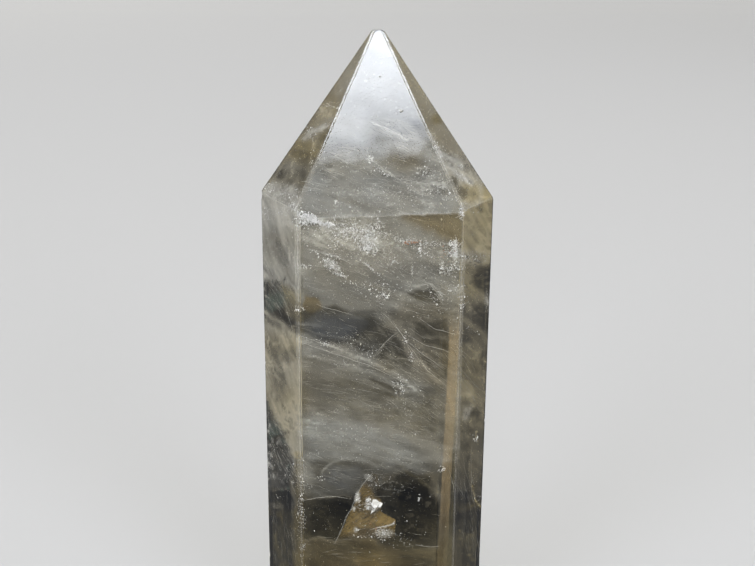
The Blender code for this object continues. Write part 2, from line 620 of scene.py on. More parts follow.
@dataclass(frozen=True)
class SparkFinish:
    """Tiny bright fracture flakes."""

    name: str
    colour: Colour
    roughness: float = 0.25
    alpha: float = 1.0
    mirror: float = 0.0

    dulled = 0.75  # how bright the dullest flakes are, beside the brightest

    def build(self) -> bpy.types.Material:
        """Make the material, a little uneven in brightness from flake to flake."""
        material, graph, shader = new_material(self.name)
        place = graph.add("ShaderNodeTexCoord").outputs["Object"]
        uneven = graph.add("ShaderNodeTexNoise", {"Vector": place, "Scale": 2500.0, "Detail": 1.0})
        dull = tuple(c * self.dulled for c in self.colour[:3]) + (1.0,)
        reach = {"Value": uneven.outputs[0], "From Min": 0.35, "From Max": 0.6}
        share = graph.add("ShaderNodeMapRange", reach, clamp=True)
        graph.link(graph.blend(share.outputs[0], dull, self.colour), shader.inputs["Base Color"])
        shader.inputs["Roughness"].default_value = self.roughness
        shader.inputs["Metallic"].default_value = self.mirror
        shader.inputs["Alpha"].default_value = self.alpha
        return material


@dataclass(frozen=True)
class WornEdgeFinish:
    """The broken edges: ground glass in places, clear in others."""

    cover: float = 0.07
    colour: Colour = (0.90, 0.89, 0.86, 1.0)

    def build(self, strands: bpy.types.NodeTree) -> bpy.types.Material:
        """Make the material."""
        material, graph, shader = new_material("worn_edge")
        grain = graph.add("ShaderNodeGroup", node_tree=strands)
        grain.inputs["Fineness"].default_value = 1500.0
        grain.inputs["Stretch"].default_value = 1.0
        grain.inputs["Low"].default_value = 0.30
        grain.inputs["High"].default_value = 0.55
        graph.link(graph.math("MULTIPLY", grain.outputs["Mask"], self.cover), shader.inputs["Alpha"])
        shader.inputs["Base Color"].default_value = self.colour
        shader.inputs["Roughness"].default_value = 0.5
        return material


# ------------------------------------------------------------------ pieces inside the crystal


def made_once(finish: VeilFinish | SparkFinish, *groups: bpy.types.NodeTree) -> bpy.types.Material:
    """Give a finish's material, made when it is first asked for."""
    return bpy.data.materials.get(finish.name) or finish.build(*groups)


def show(
    name: str, vertices: Array, faces: list | Array, material: bpy.types.Material, smooth: bool
) -> bpy.types.Object:
    """Make a piece that belongs to the crystal.

    Args:
        name: the piece's name.
        vertices: positions in metres.
        faces: corner numbers of each face.
        material: its finish.
        smooth: whether its faces shade as one surface.

    Returns:
        The piece, riding on the crystal's body.
    """
    mesh = bpy.data.meshes.new(name)
    mesh.from_pydata(np.asarray(vertices).tolist(), [], [list(map(int, f)) for f in faces])
    mesh.polygons.foreach_set("use_smooth", [smooth] * len(mesh.polygons))
    mesh.materials.append(material)
    mesh.update()
    piece = bpy.data.objects.new(name, mesh)
    bpy.context.scene.collection.objects.link(piece)
    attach(piece, BODY)
    log.info("%s: %d faces", name, len(mesh.polygons))
    return piece


class Through(Enum):
    """How places on a sheet are given."""

    SIGHT = "as they show to the camera"
    FACE = "along the face itself"


def along_face(x: Array, z: Array, depth: Array, face: Plane) -> Array:
    """Find a place below a face, measured along the face.

    Args:
        x: millimetres to the right of the face's middle line, seen from outside.
        z: millimetres above the base.
        depth: millimetres below the face.
        face: the face.

    Returns:
        Positions in metres, the last axis being x, y, z.
    """
    x, z, depth = np.broadcast_arrays(x, z, depth)
    right = np.cross((0.0, 0.0, 1.0), face.normal)
    right /= np.linalg.norm(right)
    up = np.cross(face.normal, right)
    foot = face.normal * face.offset
    climb = (z * MM - foot[2]) / up[2]
    on_face = foot + x[..., None] * MM * right + climb[..., None] * up
    return on_face - (depth * MM)[..., None] * face.normal


@dataclass
class Veil:
    """A curved sheet a little below a face: mostly a milky veil, in a few places a painted reflection."""

    name: str
    face: Plane
    left: float
    right: float
    low: float
    high: float
    depth: float
    sway: float  # how far the sheet swings towards the face and away from it
    seed: int
    finish: VeilFinish
    through: Through = Through.SIGHT
    spacing: float = 0.26
    base: float = 0.0
    milk: tuple[Mark, ...] = ()
    warmth_base: float = 0.2
    warmth: tuple[Mark, ...] = ()
    grain_angle: float = -20.0
    grain: float = 0.3
    swirl: float = 0.7  # how far painted edges are shifted about
    bounds: Patch | None = None
    ripple: float = 0.0  # height of the shell-like waves, in millimetres
    ripple_middle: Spot2 = (0.0, 0.0)
    ripple_length: float = 1.2
    wispy: float = 0.7  # how much the milk gathers in filaments

    least_milk = 0.012  # thinner milk than this is left out
    least_depth = 0.3  # millimetres below the face
    wall = 0.12 * MM  # how far inside the crystal it stays
    off_face = 0.05 * MM  # how far outside the crystal the spot looked through may lie
    swirl_size = 2.2  # millimetres
    fine_strands, broad_strands = (5.0, 0.8, 5), (11.0, 2.6, 3)  # length, width and octaves
    wisps, short_wisps, cross_wisps = (7.0, 1.5), (4.0, 0.8), (5.0, 1.1)  # length and width

    def build(
        self, crystal: Crystal, sight: Sight, groups: dict[str, bpy.types.NodeTree]
    ) -> bpy.types.Object:
        """Make the sheet.

        Args:
            crystal: what it has to stay inside of.
            sight: the camera's look into the crystal.
            groups: the shared node groups.

        Returns:
            The piece.
        """
        columns = int((self.right - self.left) / self.spacing) + 2
        rows = int((self.high - self.low) / self.spacing) + 2
        across = np.linspace(self.left, self.right, columns)
        x, z = np.meshgrid(across, np.linspace(self.low, self.high, rows))
        noise = Noise(self.seed)
        depth = self.depth + self.sway * 2.0 * (noise.cloudy(x / 7.0, z / 9.0, 3) - 0.5)
        from_middle = np.hypot(x - self.ripple_middle[0], z - self.ripple_middle[1])
        depth = depth + self.ripple * np.sin(2.0 * math.pi * from_middle / self.ripple_length)
        depth = np.maximum(depth, self.least_depth)
        place = sight.place if self.through is Through.SIGHT else along_face
        points = place(x, z, depth, self.face)
        milk = self.cover(x, z)
        warmth = paint(np.full(x.shape, self.warmth_base), self.warmth, *self.swirled(x, z))
        warmth = np.clip(warmth + 0.35 * (noise.cloudy(x / 5.0 + 31.0, z / 5.0) - 0.5), 0.0, 1.0)
        keep = (crystal.depth(points) > self.wall) & (milk > self.least_milk)
        keep &= crystal.depth(place(x, z, 0.0, self.face)) > -self.off_face
        if self.bounds:
            keep &= self.bounds.mask(x, z) > 0.5
        return self.sheet(points, keep, {"milk": milk, "warmth": warmth}, groups)

    def swirled(self, x: Array, z: Array) -> tuple[Array, Array]:
        """Shift places about a little, so that nothing painted has a ruled edge."""
        noise = Noise(self.seed + 101)
        column, row = x / self.swirl_size, z / self.swirl_size
        x_shift = self.swirl * 2.0 * (noise.cloudy(column, row) - 0.5)
        z_shift = self.swirl * 2.0 * (noise.cloudy(column + 57.0, row) - 0.5)
        return x + x_shift, z + z_shift

    def cover(self, x: Array, z: Array) -> Array:
        """Give how milky the sheet is at each place, from 0 to 1."""
        noise = Noise(self.seed + 7)
        painted = paint(np.full(x.shape, self.base), self.milk, *self.swirled(x, z))
        fine = noise.combed(x, z, self.grain_angle, *self.fine_strands)
        broad = noise.combed(x + 40.0, z, self.grain_angle - 6.0, *self.broad_strands)
        strands = 0.55 * fine + 0.45 * broad
        varied = painted * (1.0 + self.grain * 3.2 * (strands - 0.5))
        wisps = noise.filaments(x, z, self.grain_angle, *self.wisps)
        short = noise.filaments(x + 70.0, z, self.grain_angle - 14.0, *self.short_wisps)
        crossing = noise.filaments(x, z + 90.0, self.grain_angle + 24.0, *self.cross_wisps)
        wisps = np.maximum(np.maximum(wisps, 0.8 * short), 0.6 * crossing)
        gathered = 0.15 + 0.85 * smooth_step(0.40, 0.66, noise.cloudy(x / 4.0 + 13.0, z / 3.0))
        thinned = varied * (1.0 - 0.3 * self.wispy)
        return np.clip(thinned + self.wispy * wisps * gathered * (0.9 * painted + 0.012), 0.0, 1.0)

    def sheet(self, points: Array, keep: Array, layers: dict[str, Array], groups: dict) -> bpy.types.Object:
        """Make the mesh of the kept places.

        Args:
            points: positions in metres, by row and column.
            keep: which of them to keep.
            layers: values to store on the kept places, by name.
            groups: the shared node groups.

        Returns:
            The piece.
        """
        cells = keep[:-1, :-1] & keep[1:, :-1] & keep[:-1, 1:] & keep[1:, 1:]
        numbers = np.arange(keep.size).reshape(keep.shape)
        corners = (numbers[:-1, :-1], numbers[:-1, 1:], numbers[1:, 1:], numbers[1:, :-1])
        faces = np.stack([c[cells] for c in corners], axis=1)
        used = np.unique(faces)
        renumber = np.zeros(keep.size, int)
        renumber[used] = np.arange(len(used))
        material = made_once(self.finish, groups["strands"], groups["dust"])
        piece = show(self.name, points.reshape(-1, 3)[used], renumber[faces], material, smooth=True)
        for name, values in layers.items():
            layer = piece.data.attributes.new(name, "FLOAT", "POINT")
            layer.data.foreach_set("value", values.reshape(-1)[used].astype(np.float32))
        return piece


@dataclass(frozen=True)
class Swarm:
    """A scatter of flakes about a place that shows on the front.

    It gives the place, how wide and high the scatter is, the number of flakes, their size and
    the range of their depths below the face, all in millimetres, and the scatter's turn in degrees.
    """

    x: float
    z: float
    wide: float
    high: float
    count: int
    size: float
    shallow: float = 0.6
    deep: float = 2.5
    angle: float = 0.0


@dataclass
class Sparks:
    """Many tiny flat flakes, joined in one piece."""

    name: str
    face: Plane
    swarms: tuple[Swarm, ...]
    finish: SparkFinish
    seed: int

    facing = 0.72  # 0 turns flakes any way, 1 lays them all to catch the light
    corners = 5
    wall = 0.08  # millimetres inside the crystal that a flake stays

    def build(self, crystal: Crystal, sight: Sight) -> bpy.types.Object:
        """Scatter the flakes.

        Args:
            crystal: what they have to stay inside of.
            sight: the camera's look into the crystal.

        Returns:
            The piece.
        """
        draw = np.random.default_rng(self.seed)
        vertices: list[Array] = []
        for swarm in self.swarms:
            turn = math.radians(swarm.angle)
            along = draw.normal(0.0, 0.5, swarm.count) * swarm.wide
            across = draw.normal(0.0, 0.5, swarm.count) * swarm.high
            x = swarm.x + along * math.cos(turn) - across * math.sin(turn)
            z = swarm.z + along * math.sin(turn) + across * math.cos(turn)
            depth = draw.uniform(swarm.shallow, swarm.deep, swarm.count)
            middles = sight.place(x, z, depth, self.face)
            sizes = swarm.size * draw.lognormal(0.0, 0.45, swarm.count)
            middles, sizes = self._inside(crystal, middles, sizes)
            vertices.extend(self._flakes(draw, middles, sizes))
        points = np.concatenate(vertices)
        faces = np.arange(len(points)).reshape(-1, self.corners)
        return show(self.name, points, faces, made_once(self.finish), smooth=False)

    def _inside(self, crystal: Crystal, middles: Array, sizes: Array) -> tuple[Array, Array]:
        """Keep the flakes that fit inside the crystal."""
        fits = crystal.depth(middles) > (sizes + self.wall) * MM
        return middles[fits], sizes[fits]

    def _flakes(self, draw: np.random.Generator, middles: Array, sizes: Array) -> list[Array]:
        """Make an uneven flat flake round each middle."""
        made = []
        for middle, size in zip(middles, sizes):
            normal = draw.normal(size=3)
            normal = normal / np.linalg.norm(normal) * (1.0 - self.facing) + GLINT * self.facing
            normal /= np.linalg.norm(normal)
            side = np.cross(normal, draw.normal(size=3))
            side /= np.linalg.norm(side)
            other = np.cross(normal, side)
            squeeze = draw.uniform(0.15, 0.8)
            turns = np.sort(draw.uniform(0.0, 2.0 * math.pi, self.corners))
            reach = size * MM * draw.uniform(0.7, 1.2, self.corners)
            wide = (reach * np.cos(turns))[:, None] * side
            high = (reach * squeeze * np.sin(turns))[:, None] * other
            made.append(middle + wide + high)
        return made


@dataclass
class WornEdges:
    """The narrow flats and nicks of the edges, where handling has ground the polish away."""

    finish: WornEdgeFinish = WornEdgeFinish()
    lift: float = 0.012 * MM
    foot: float = 0.9 * MM  # the base's own edges, below this, stay as they are

    def build(self, crystal: Crystal, groups: dict[str, bpy.types.NodeTree]) -> bpy.types.Object:
        """Copy the crystal's small facets a hair's breadth outwards."""
        flat = np.zeros(len(crystal.areas), bool)
        for plane in crystal.planes:
            flat |= crystal.lying_on(plane)
        worn = crystal.triangles[~flat] + crystal.normals[~flat][:, None] * self.lift
        worn = worn[worn[:, :, 2].min(axis=1) > self.foot]
        faces = np.arange(len(worn) * 3).reshape(-1, 3)
        material = self.finish.build(groups["strands"])
        return show("worn_edges", worn.reshape(-1, 3), faces, material, smooth=False)


@dataclass(frozen=True)
class Thread:
    """A bright crack line: its way as it shows on the front, and how deep it lies."""

    points: tuple[Spot2, ...]
    half: float
    shallow: float = 1.2
    deep: float = 3.0


@dataclass(frozen=True)
class Comb:
    """Many short fine threads that run nearly the same way."""

    x: float
    z: float
    wide: float
    high: float
    angle: float
    count: int
    length: float = 3.0
    spread: float = 9.0
    half: float = 0.013
    shallow: float = 0.5
    deep: float = 4.0


@dataclass
class Threads:
    """Crack lines and fine fibres, as thin three-sided tubes in one piece."""

    name: str
    face: Plane
    threads: tuple[Thread, ...]
    combs: tuple[Comb, ...]
    finish: SparkFinish
    seed: int
    step: float = 0.45  # millimetres between a tube's rings

    wander = 0.25  # millimetres over which a long thread strays
    wall = 0.1 * MM  # how far inside the crystal a thread stays
    corner_turns = (90.0, 210.0, 330.0)  # degrees round a tube

    def build(self, crystal: Crystal, sight: Sight) -> bpy.types.Object:
        """Draw the threads.

        Args:
            crystal: what they have to stay inside of.
            sight: the camera's look into the crystal.

        Returns:
            The piece.
        """
        draw = np.random.default_rng(self.seed)
        rings: list[Array] = []
        faces: list[Array] = []
        for thread in self.threads + self._combed(draw):
            self._draw(thread, draw, crystal, sight, rings, faces)
        points, sides = np.concatenate(rings), np.concatenate(faces)
        return show(self.name, points, sides, made_once(self.finish), smooth=True)

    def _combed(self, draw: np.random.Generator) -> tuple[Thread, ...]:
        """Turn the combs into threads."""
        made = []
        for comb in self.combs:
            turn = math.radians(comb.angle)
            for _ in range(comb.count):
                along, across = draw.uniform(-0.5, 0.5, 2) * (comb.wide, comb.high)
                x = comb.x + along * math.cos(turn) - across * math.sin(turn)
                z = comb.z + along * math.sin(turn) + across * math.cos(turn)
                own = turn + math.radians(draw.normal(0.0, comb.spread))
                reach = comb.length * draw.uniform(0.3, 1.0) / 2.0
                run, rise = reach * math.cos(own), reach * math.sin(own)
                ends = ((x - run, z - rise), (x + run, z + rise))
                depths = draw.uniform(comb.shallow, comb.deep, 2)
                made.append(Thread(ends, comb.half * draw.uniform(0.6, 1.4), *depths))
        return tuple(made)

    def _draw(
        self, thread: Thread, draw: np.random.Generator, crystal: Crystal, sight: Sight,
        rings: list[Array], faces: list[Array],
    ) -> None:
        """Add one thread's tube.

        Args:
            thread: the thread.
            draw: random numbers.
            crystal: what it has to stay inside of.
            sight: the camera's look into the crystal.
            rings: the corners so far, added to.
            faces: the faces so far, added to.
        """
        stops = np.array(thread.points)
        lengths = np.concatenate([[0.0], np.cumsum(np.hypot(*np.diff(stops, axis=0).T))])
        count = max(int(lengths[-1] / self.step) + 1, 3)
        at = np.linspace(0.0, lengths[-1], count)
        noise = Noise(int(draw.integers(1, 10**6)))
        wander = self.wander * min(1.0, lengths[-1] / 4.0)
        x = np.interp(at, lengths, stops[:, 0]) + wander * (noise.cloudy(at / 1.6, at * 0.0, 3) - 0.5)
        z = np.interp(at, lengths, stops[:, 1]) + wander * (noise.cloudy(at / 1.6, at * 0.0 + 9.0, 3) - 0.5)
        depth = np.interp(at, (0.0, lengths[-1]), (thread.shallow, thread.deep))
        middle = sight.place(x, z, depth, self.face)
        share = np.linspace(0.0, 1.0, count)
        half = thread.half * MM * np.sin(math.pi * np.clip(share, 0.04, 0.96)) ** 0.5
        half = half * (0.5 + noise.cloudy(at / 0.8, at * 0.0 + 3.0, 2))
        if crystal.depth(middle).min() < self.wall:
            return
        first = sum(len(ring) for ring in rings)
        up, out = np.array((0.0, 0.0, 1.0)), self.face.normal
        for turn in self.corner_turns:
            way = math.cos(math.radians(turn)) * out + math.sin(math.radians(turn)) * up
            rings.append(middle + half[:, None] * way)
        corners = len(self.corner_turns)
        for side in range(corners):
            a = first + side * count + np.arange(count - 1)
            b = first + (side + 1) % corners * count + np.arange(count - 1)
            faces.append(np.stack([a, a + 1, b + 1, b], axis=1))


@dataclass(frozen=True)
class Facet:
    """A small flat break: its outline on the front, how deep it lies and how it leans."""

    points: tuple[Spot2, ...]
    depth: float
    lean: float = 0.0  # millimetres deeper for each millimetre up
    turn: float = 0.0  # millimetres deeper for each millimetre right


@dataclass
class Facets:
    """Flat breaks inside the crystal, joined in one piece; here white splinters that paint a glint."""

    name: str
    face: Plane
    facets: tuple[Facet, ...]
    finish: SparkFinish

    def build(self, sight: Sight) -> bpy.types.Object:
        """Make the facets."""
        vertices: list[Array] = []
        faces: list[list[int]] = []
        for facet in self.facets:
            spots = np.array(facet.points, float)
            right, up = (spots - spots.mean(axis=0)).T
            depth = facet.depth + facet.lean * up + facet.turn * right
            first = sum(len(v) for v in vertices)
            vertices.append(sight.place(spots[:, 0], spots[:, 1], depth, self.face))
            faces.append(list(range(first, first + len(spots))))
        return show(self.name, np.concatenate(vertices), faces, made_once(self.finish), smooth=False)


# ------------------------------------------------------------------ finishes of what is inside

MILKY = VeilFinish("milky_veil")
SIDE = VeilFinish(
    "side_veil", (0.90, 0.88, 0.81, 1.0), (0.60, 0.48, 0.21, 1.0), angle=-60.0, broken=0.3, dust_share=0.08
)
TEAL = VeilFinish(
    "teal_haze", (0.20, 0.33, 0.29, 1.0), (0.34, 0.36, 0.26, 1.0), angle=-70.0, broken=0.4, dust_share=0.05
)
# A bluish sheet that paints the dark surroundings as they show through the clear crystal
BLUISH = VeilFinish("backdrop_seen_through", (0.42, 0.50, 0.66, 1.0), broken=0.3, dust_share=0.05)
# The break's finish, golden to dark brown: painted reflection from its inner faces, on a real gloss
BREAK = VeilFinish(
    "golden_break_painted_reflection", (0.32, 0.225, 0.085, 1.0), (0.05, 0.036, 0.016, 1.0), angle=35.0, fineness=1800.0,
    stretch=2.5, broken=0.45, dust_share=0.22, roughness=0.3, specular=0.6,
)
# A golden sheet that paints the far right face's reflection along the front's right edge
GOLDEN_STRIP_REFLECTION = VeilFinish(
    "painted_reflection_film", (0.66, 0.50, 0.28, 1.0), (0.60, 0.38, 0.14, 1.0), angle=88.0, broken=0.15, dust_share=0.03
)

WHITE_SPARK = SparkFinish("white_spark", (0.97, 0.97, 0.96, 1.0), roughness=0.35, mirror=0.4)
AMBER_SPARK = SparkFinish("amber_spark", (0.40, 0.22, 0.13, 1.0))
CRACK_FINISH = SparkFinish("crack", (0.97, 0.97, 0.95, 1.0), roughness=0.35, alpha=0.85)
THREAD_FINISH = SparkFinish("thread", (0.93, 0.92, 0.88, 1.0), roughness=0.4, alpha=0.55)
FIBRE_FINISH = SparkFinish("fibre", (0.80, 0.79, 0.73, 1.0), roughness=0.5, alpha=0.5)


# ------------------------------------------------------------------ the veils, face by face

# Milk is how thickly a place is covered, and warmth is how golden it is, both from 0 to 1.

# Behind the wide face of the prism, from the shoulder down to the foot
SHOULDER = ((-13, 75.8), (-6, 74.6), (0, 75.4), (5, 76.6), (13.5, 76), (13.5, 86), (-13, 86))
CLEAR_CORNER = (
    (2.4, 85.6), (4.6, 83.6), (7.6, 82.2), (11.2, 80.6), (12.6, 79.6), (13.6, 79.4), (13.6, 86.5),
    (2.4, 86.5),
)
FRONT_MILK = (
    # under the shoulder
    Patch(SHOULDER, 0.38, rim=1.4),
    Cloud(-5, 81.2, 7, 2.8, 0.6, 0.8, -10),
    Patch(CLEAR_CORNER, 0.27),
    Cloud(-9.2, 84.2, 3.2, 0.9, 0.85, 0.8, -14),
    Stroke(((-8, 82.9), (-6, 82.5), (-2.4, 82.6), (-0.4, 80.8)), 0.9, 0.9, 0.7),
    Cloud(-1.2, 80.4, 1.7, 2, 0.92),
    Cloud(-6.6, 76.8, 1.8, 0.8, 0.8, 0.6, -30),
    Cloud(11.6, 79, 0.7, 1.6, 0.85, 0.7),
    Cloud(4.4, 79.2, 3, 0.8, 0.24, 0.7, -12),
    Cloud(-3.2, 78.4, 2.8, 0.7, 0.26, 0.6, -25),
    Brush(1, 79, 24, 8, -22, 0.5, 0.6, 90, 3.6, 0.14, 10, 2),
    Brush(-9.6, 84, 3.6, 1.2, -20, 1, 0.9, 26, 0.9, 0.14, 80, 54),
    Brush(-3.2, 81.6, 8, 2.4, -20, 1, 0.85, 70, 0.9, 0.12, 80, 55),
    Brush(-6.4, 76.8, 2.8, 1.4, -30, 1, 0.85, 18, 0.7, 0.12, 80, 57),
    Brush(11.4, 79, 1.6, 3, 80, 1, 0.85, 24, 0.8, 0.12, 60, 58),
    Brush(1, 76, 20, 6, -30, 0.7, 0.7, 50, 0.8, 0.1, 80, 59),
    Brush(1, 78.5, 24, 8, -18, 0.2, 0.6, 60, 3.6, 0.16, 12, 20),
    # the band below it, with its dark spot
    Patch(((-13, 70.3), (-4, 69.4), (2, 69.6), (5, 70.4), (13.5, 71.8), (13.5, 76), (5, 76.6), (-13, 75.8)),
          0.27),
    Brush(-3, 72.6, 18, 5, -14, 0.31, 0.5, 30, 6, 0.45, 6, 3),
    Patch(((4.6, 72.3), (6.6, 73.3), (8.2, 73.2), (9.9, 70.9), (9.2, 70.2), (6.5, 71)), 0.03, rim=0.35),
    Cloud(11.2, 72.8, 1.5, 1.2, 0.45),
    Cloud(10.8, 74.6, 2.2, 0.8, 0.33, 0.7),
    Cloud(3.6, 69.3, 4, 0.7, 0.1, 0.7, -6),
    # the dark patches above the middle
    Patch(((-11.9, 70), (-9, 69.2), (-6.5, 70.4), (-4, 69.6), (-0.5, 69.2), (1.6, 66.6), (1, 62.8),
           (-3, 63.3), (-8, 64.7), (-11.9, 66.2)), 0.045, rim=0.45),
    Cloud(-3, 68.9, 3.2, 0.6, 0.13, 0.8, -4),
    Brush(-4, 66, 12, 4, -28, 0.11, 0.6, 26, 3, 0.16, 16, 4),
    Patch(((0.3, 67.2), (2.6, 67.4), (4.8, 65), (5.4, 61), (2.5, 60.4), (0.2, 61.8)), 0.035, rim=0.45),
    Patch(((5.5, 68.2), (10.8, 68.8), (11.2, 66), (6.5, 66)), 0.045, rim=0.5),
    Patch(((6.8, 65.6), (11.2, 65.4), (11.2, 62.8), (8, 63.4)), 0.06, rim=0.45),
    Patch(((6.5, 61.8), (9, 62.4), (11.2, 61.2), (11.2, 58.4), (8.2, 59.8)), 0.06, rim=0.45),
    Cloud(8.6, 70, 3, 0.8, 0.18, 0.7, -20),
    # the wide grey bands across the middle
    Patch(((-13, 64.2), (-6, 62.4), (0, 60.2), (6, 57.4), (12, 56), (12, 44), (-13, 44)), 0.19, rim=0.9),
    Cloud(-8.6, 59.6, 3.4, 1.3, 0.26, 0.8, -6),
    Cloud(-4.6, 57.4, 5, 1.3, 0.14, 0.8, -14),
    Cloud(-9.5, 55, 3, 1.6, 0.18, 0.7),
    Patch(((-0.5, 59), (2.6, 58), (3.9, 56.2), (3.2, 55), (0.6, 56), (-0.8, 57.6)), 0.045, rim=0.45),
    Cloud(4.5, 60.6, 1.2, 0.9, 0.06),
    Patch(((-13, 53.6), (-4, 51.6), (3, 50.2), (8, 47.4), (11, 46.4), (11, 44.2), (-13, 44.6)), 0.31,
          rim=1.4),
    Cloud(-7.5, 49.4, 5.5, 2.2, 0.5, 0.9, -8),
    Cloud(-1, 47.6, 3.4, 1.6, 0.31, 0.7, -16),
    Cloud(-10.8, 45.6, 1.8, 2.2, 0.28),
    Cloud(7.6, 55, 3, 4, 0.07, 0.85, -55),
    Cloud(7.8, 50.6, 2.6, 2.6, 0.03, 0.85, -40),
    Cloud(6.5, 46.3, 3.5, 1.1, 0.19, 0.7, -12),
    Brush(-4, 60.5, 17, 7, -15, 0.34, 0.75, 80, 6, 0.18, 6, 5),
    Brush(-3, 56, 17, 8, -13, 0.06, 0.6, 40, 6, 0.24, 6, 6),
    Brush(7, 57, 14, 8, -44, 0.28, 0.75, 80, 5, 0.13, 9, 7),
    Brush(7.5, 54, 16, 7, -50, 0.04, 0.65, 44, 4, 0.16, 9, 8),
    Brush(-2, 49, 22, 6, -10, 0.44, 0.6, 60, 6, 0.26, 7, 9),
    Brush(-2, 47, 22, 5, -8, 0.16, 0.5, 26, 5, 0.28, 7, 10),
    # round the top of the break
    Patch(((-13, 44.6), (-9, 44.4), (12, 44.4), (12, 38), (-13, 38)), 0.085, rim=0.7),
    Patch(((-9.4, 39.2), (-8.4, 41.6), (-6.5, 43.8), (-4.2, 44.8), (-1.6, 44.3), (-0.3, 43.2), (-2.5, 40.4),
           (-3.3, 38.6)), 0.085, rim=0.3),
    Cloud(-10.8, 42.6, 1.3, 3.4, 0.26, 0.9),
    Cloud(-8.2, 39.2, 3.4, 0.5, 0.12),
    # the dark windows on both sides of the break
    Patch(((-13, 38.2), (-2.4, 38.2), (-3.4, 34), (-4.6, 30.6), (-9, 30.9), (-13, 31.2)), 0, rim=0.4),
    Brush(-8, 34.6, 8, 6, -50, 0.09, 0.7, 50, 1, 0.24, 40, 11),
    Patch(((3.6, 42.4), (6.4, 43), (9, 41.6), (10.4, 38), (10.4, 29.4), (6, 28.6), (2.4, 28.8), (0.2, 31),
           (0.2, 36), (0.2, 40), (1.6, 41.4)), 0, rim=0.6),
    Brush(6.5, 35.5, 9, 12, -55, 0.1, 0.7, 80, 1, 0.26, 50, 12),
    Cloud(1.2, 41.8, 2.6, 1.2, 0.1),
    Cloud(9.6, 40.2, 1.2, 2.4, 0.09, 0.8, -20),
    # below the break
    Patch(((-13, 31), (-6, 30.2), (0, 29.9), (4, 28.9), (4, 20), (-13, 20)), 0.075, rim=0.6),
    Patch(((4, 28.6), (10.4, 28.4), (10.4, 20), (4, 20)), 0.02, rim=1),
    Cloud(-9, 27.4, 3.4, 2.6, 0.05),
    Cloud(0.2, 26.6, 3.4, 2.6, 0.2, 0.9, -4),
    Cloud(7, 28.8, 3.4, 0.5, 0.08, 0.8, 2),
    Brush(7, 26, 6, 6, -30, 0.06, 0.7, 26, 2, 0.25, 30, 19),
    Brush(2, 28.2, 16, 3, 4, 0.17, 0.6, 24, 3.6, 0.14, 6, 13),
    # the foot
    Patch(((-13, 20), (12, 20), (12, 0), (-13, 0)), 0.1, rim=2.5),
    Cloud(-4, 13, 8, 3, 0.26, 0.9, -12),
    Cloud(6, 5, 6, 2.5, 0.24, 0.9, 8),
    Cloud(5, 16, 3, 4, 0.02, 0.9, -30),
    Brush(-1, 9, 20, 14, -16, 0.36, 0.7, 60, 6, 0.25, 12, 14),
    # beside the golden strip
    Patch(((10.3, 20), (10.5, 36), (11, 43), (12.4, 46), (14, 47), (14, 20)), 0.02),
    # bright lines over the bands
    Stroke(((-12.5, 65.2), (-8, 63.9), (-3, 62.3), (1, 60.7), (4, 58.8), (6.2, 56.8)), 0.3, 0.52, 0.9),
    Stroke(((-12.5, 64), (-8, 63), (-4, 61.8)), 0.6, 0.38, 0.75),
    Stroke(((-12.5, 62.8), (-7, 61.6), (-3, 60.6), (1, 59), (5, 56.4)), 0.2, 0.4),
    Stroke(((-12.5, 60.6), (-7, 59.4), (-2, 58.2), (2, 56.6), (6, 53.6)), 0.25, 0.28, 0.7),
    Stroke(((1.2, 69.6), (2.8, 67.6), (4.3, 65.6), (6.2, 62.2), (9, 59), (11, 57)), 0.36, 0.36, 0.9),
    Stroke(((3.4, 66.6), (4.6, 64.6), (5.6, 62.4)), 0.55, 0.4),
    Stroke(((1.6, 69), (3.4, 66.8), (5, 63.8), (6.2, 61.6)), 0.55, 0.34),
    Stroke(((2.2, 68), (3.9, 66), (5.2, 64.8)), 1, 0.22, 0.6),
    Stroke(((3.9, 66.2), (7, 64.4), (11.4, 63.2)), 0.22, 0.22),
    Stroke(((4.5, 65.2), (7.5, 62.9), (10.5, 60.6)), 0.22, 0.22),
    Stroke(((6.4, 68.6), (9.2, 66.6), (12.4, 65.8)), 0.2, 0.17),
    Stroke(((-0.2, 62.6), (2, 65.2), (4, 67)), 0.24, 0.2),
    Stroke(((-8.2, 42.6), (-6.4, 44.2), (-4.3, 45.3), (-1.2, 44.9), (0.2, 43.6)), 0.22, 0.36),
    Stroke(((-0.4, 43.6), (3, 44.3), (7, 43.8), (9.4, 41.6), (10.2, 38)), 0.45, 0.19),
    Stroke(((-11.6, 37.6), (-9, 38.2), (-6, 38.4), (-3.6, 38.1)), 0.18, 0.2),
    Stroke(((5.8, 73.5), (8, 74), (9.2, 72.6), (9.8, 71)), 0.18, 0.5, 0.85),
)
FRONT_WARMTH = (
    Patch(SHOULDER, 0.22, rim=1.4),
    Patch(CLEAR_CORNER, 0.8, rim=1),
    Patch(((-11, 71.8), (-8.6, 71.4), (-7.9, 69.6), (-9.4, 68.8), (-11, 69.8)), 0.95, rim=0.3),
    Cloud(-9.6, 70.4, 1.4, 1, 0.9, 0.9),
    Patch(((4, 71), (12, 70), (12, 56), (0, 60), (0.5, 67)), 0.45, rim=1.2),
    Patch(((-13, 62), (0, 59), (6, 56), (12, 56), (12, 46), (4, 48), (-4, 52), (-13, 54)), 0.32, rim=2),
    Patch(((-13, 53), (-4, 51), (4, 49), (6, 46), (2, 44), (-13, 44)), 0, rim=1.6),
    Patch(((-13, 31), (12, 31), (12, 18), (-13, 18)), 0.95, rim=1.5),
    Patch(((-13, 38.2), (-2.4, 38.2), (-4.6, 30.6), (-13, 31.2)), 0.7),
    Cloud(0.5, 27.2, 4, 3, 1, 0.9),
    Patch(((1, 42.6), (10.4, 42.6), (10.4, 29), (1, 30)), 0.6),
)
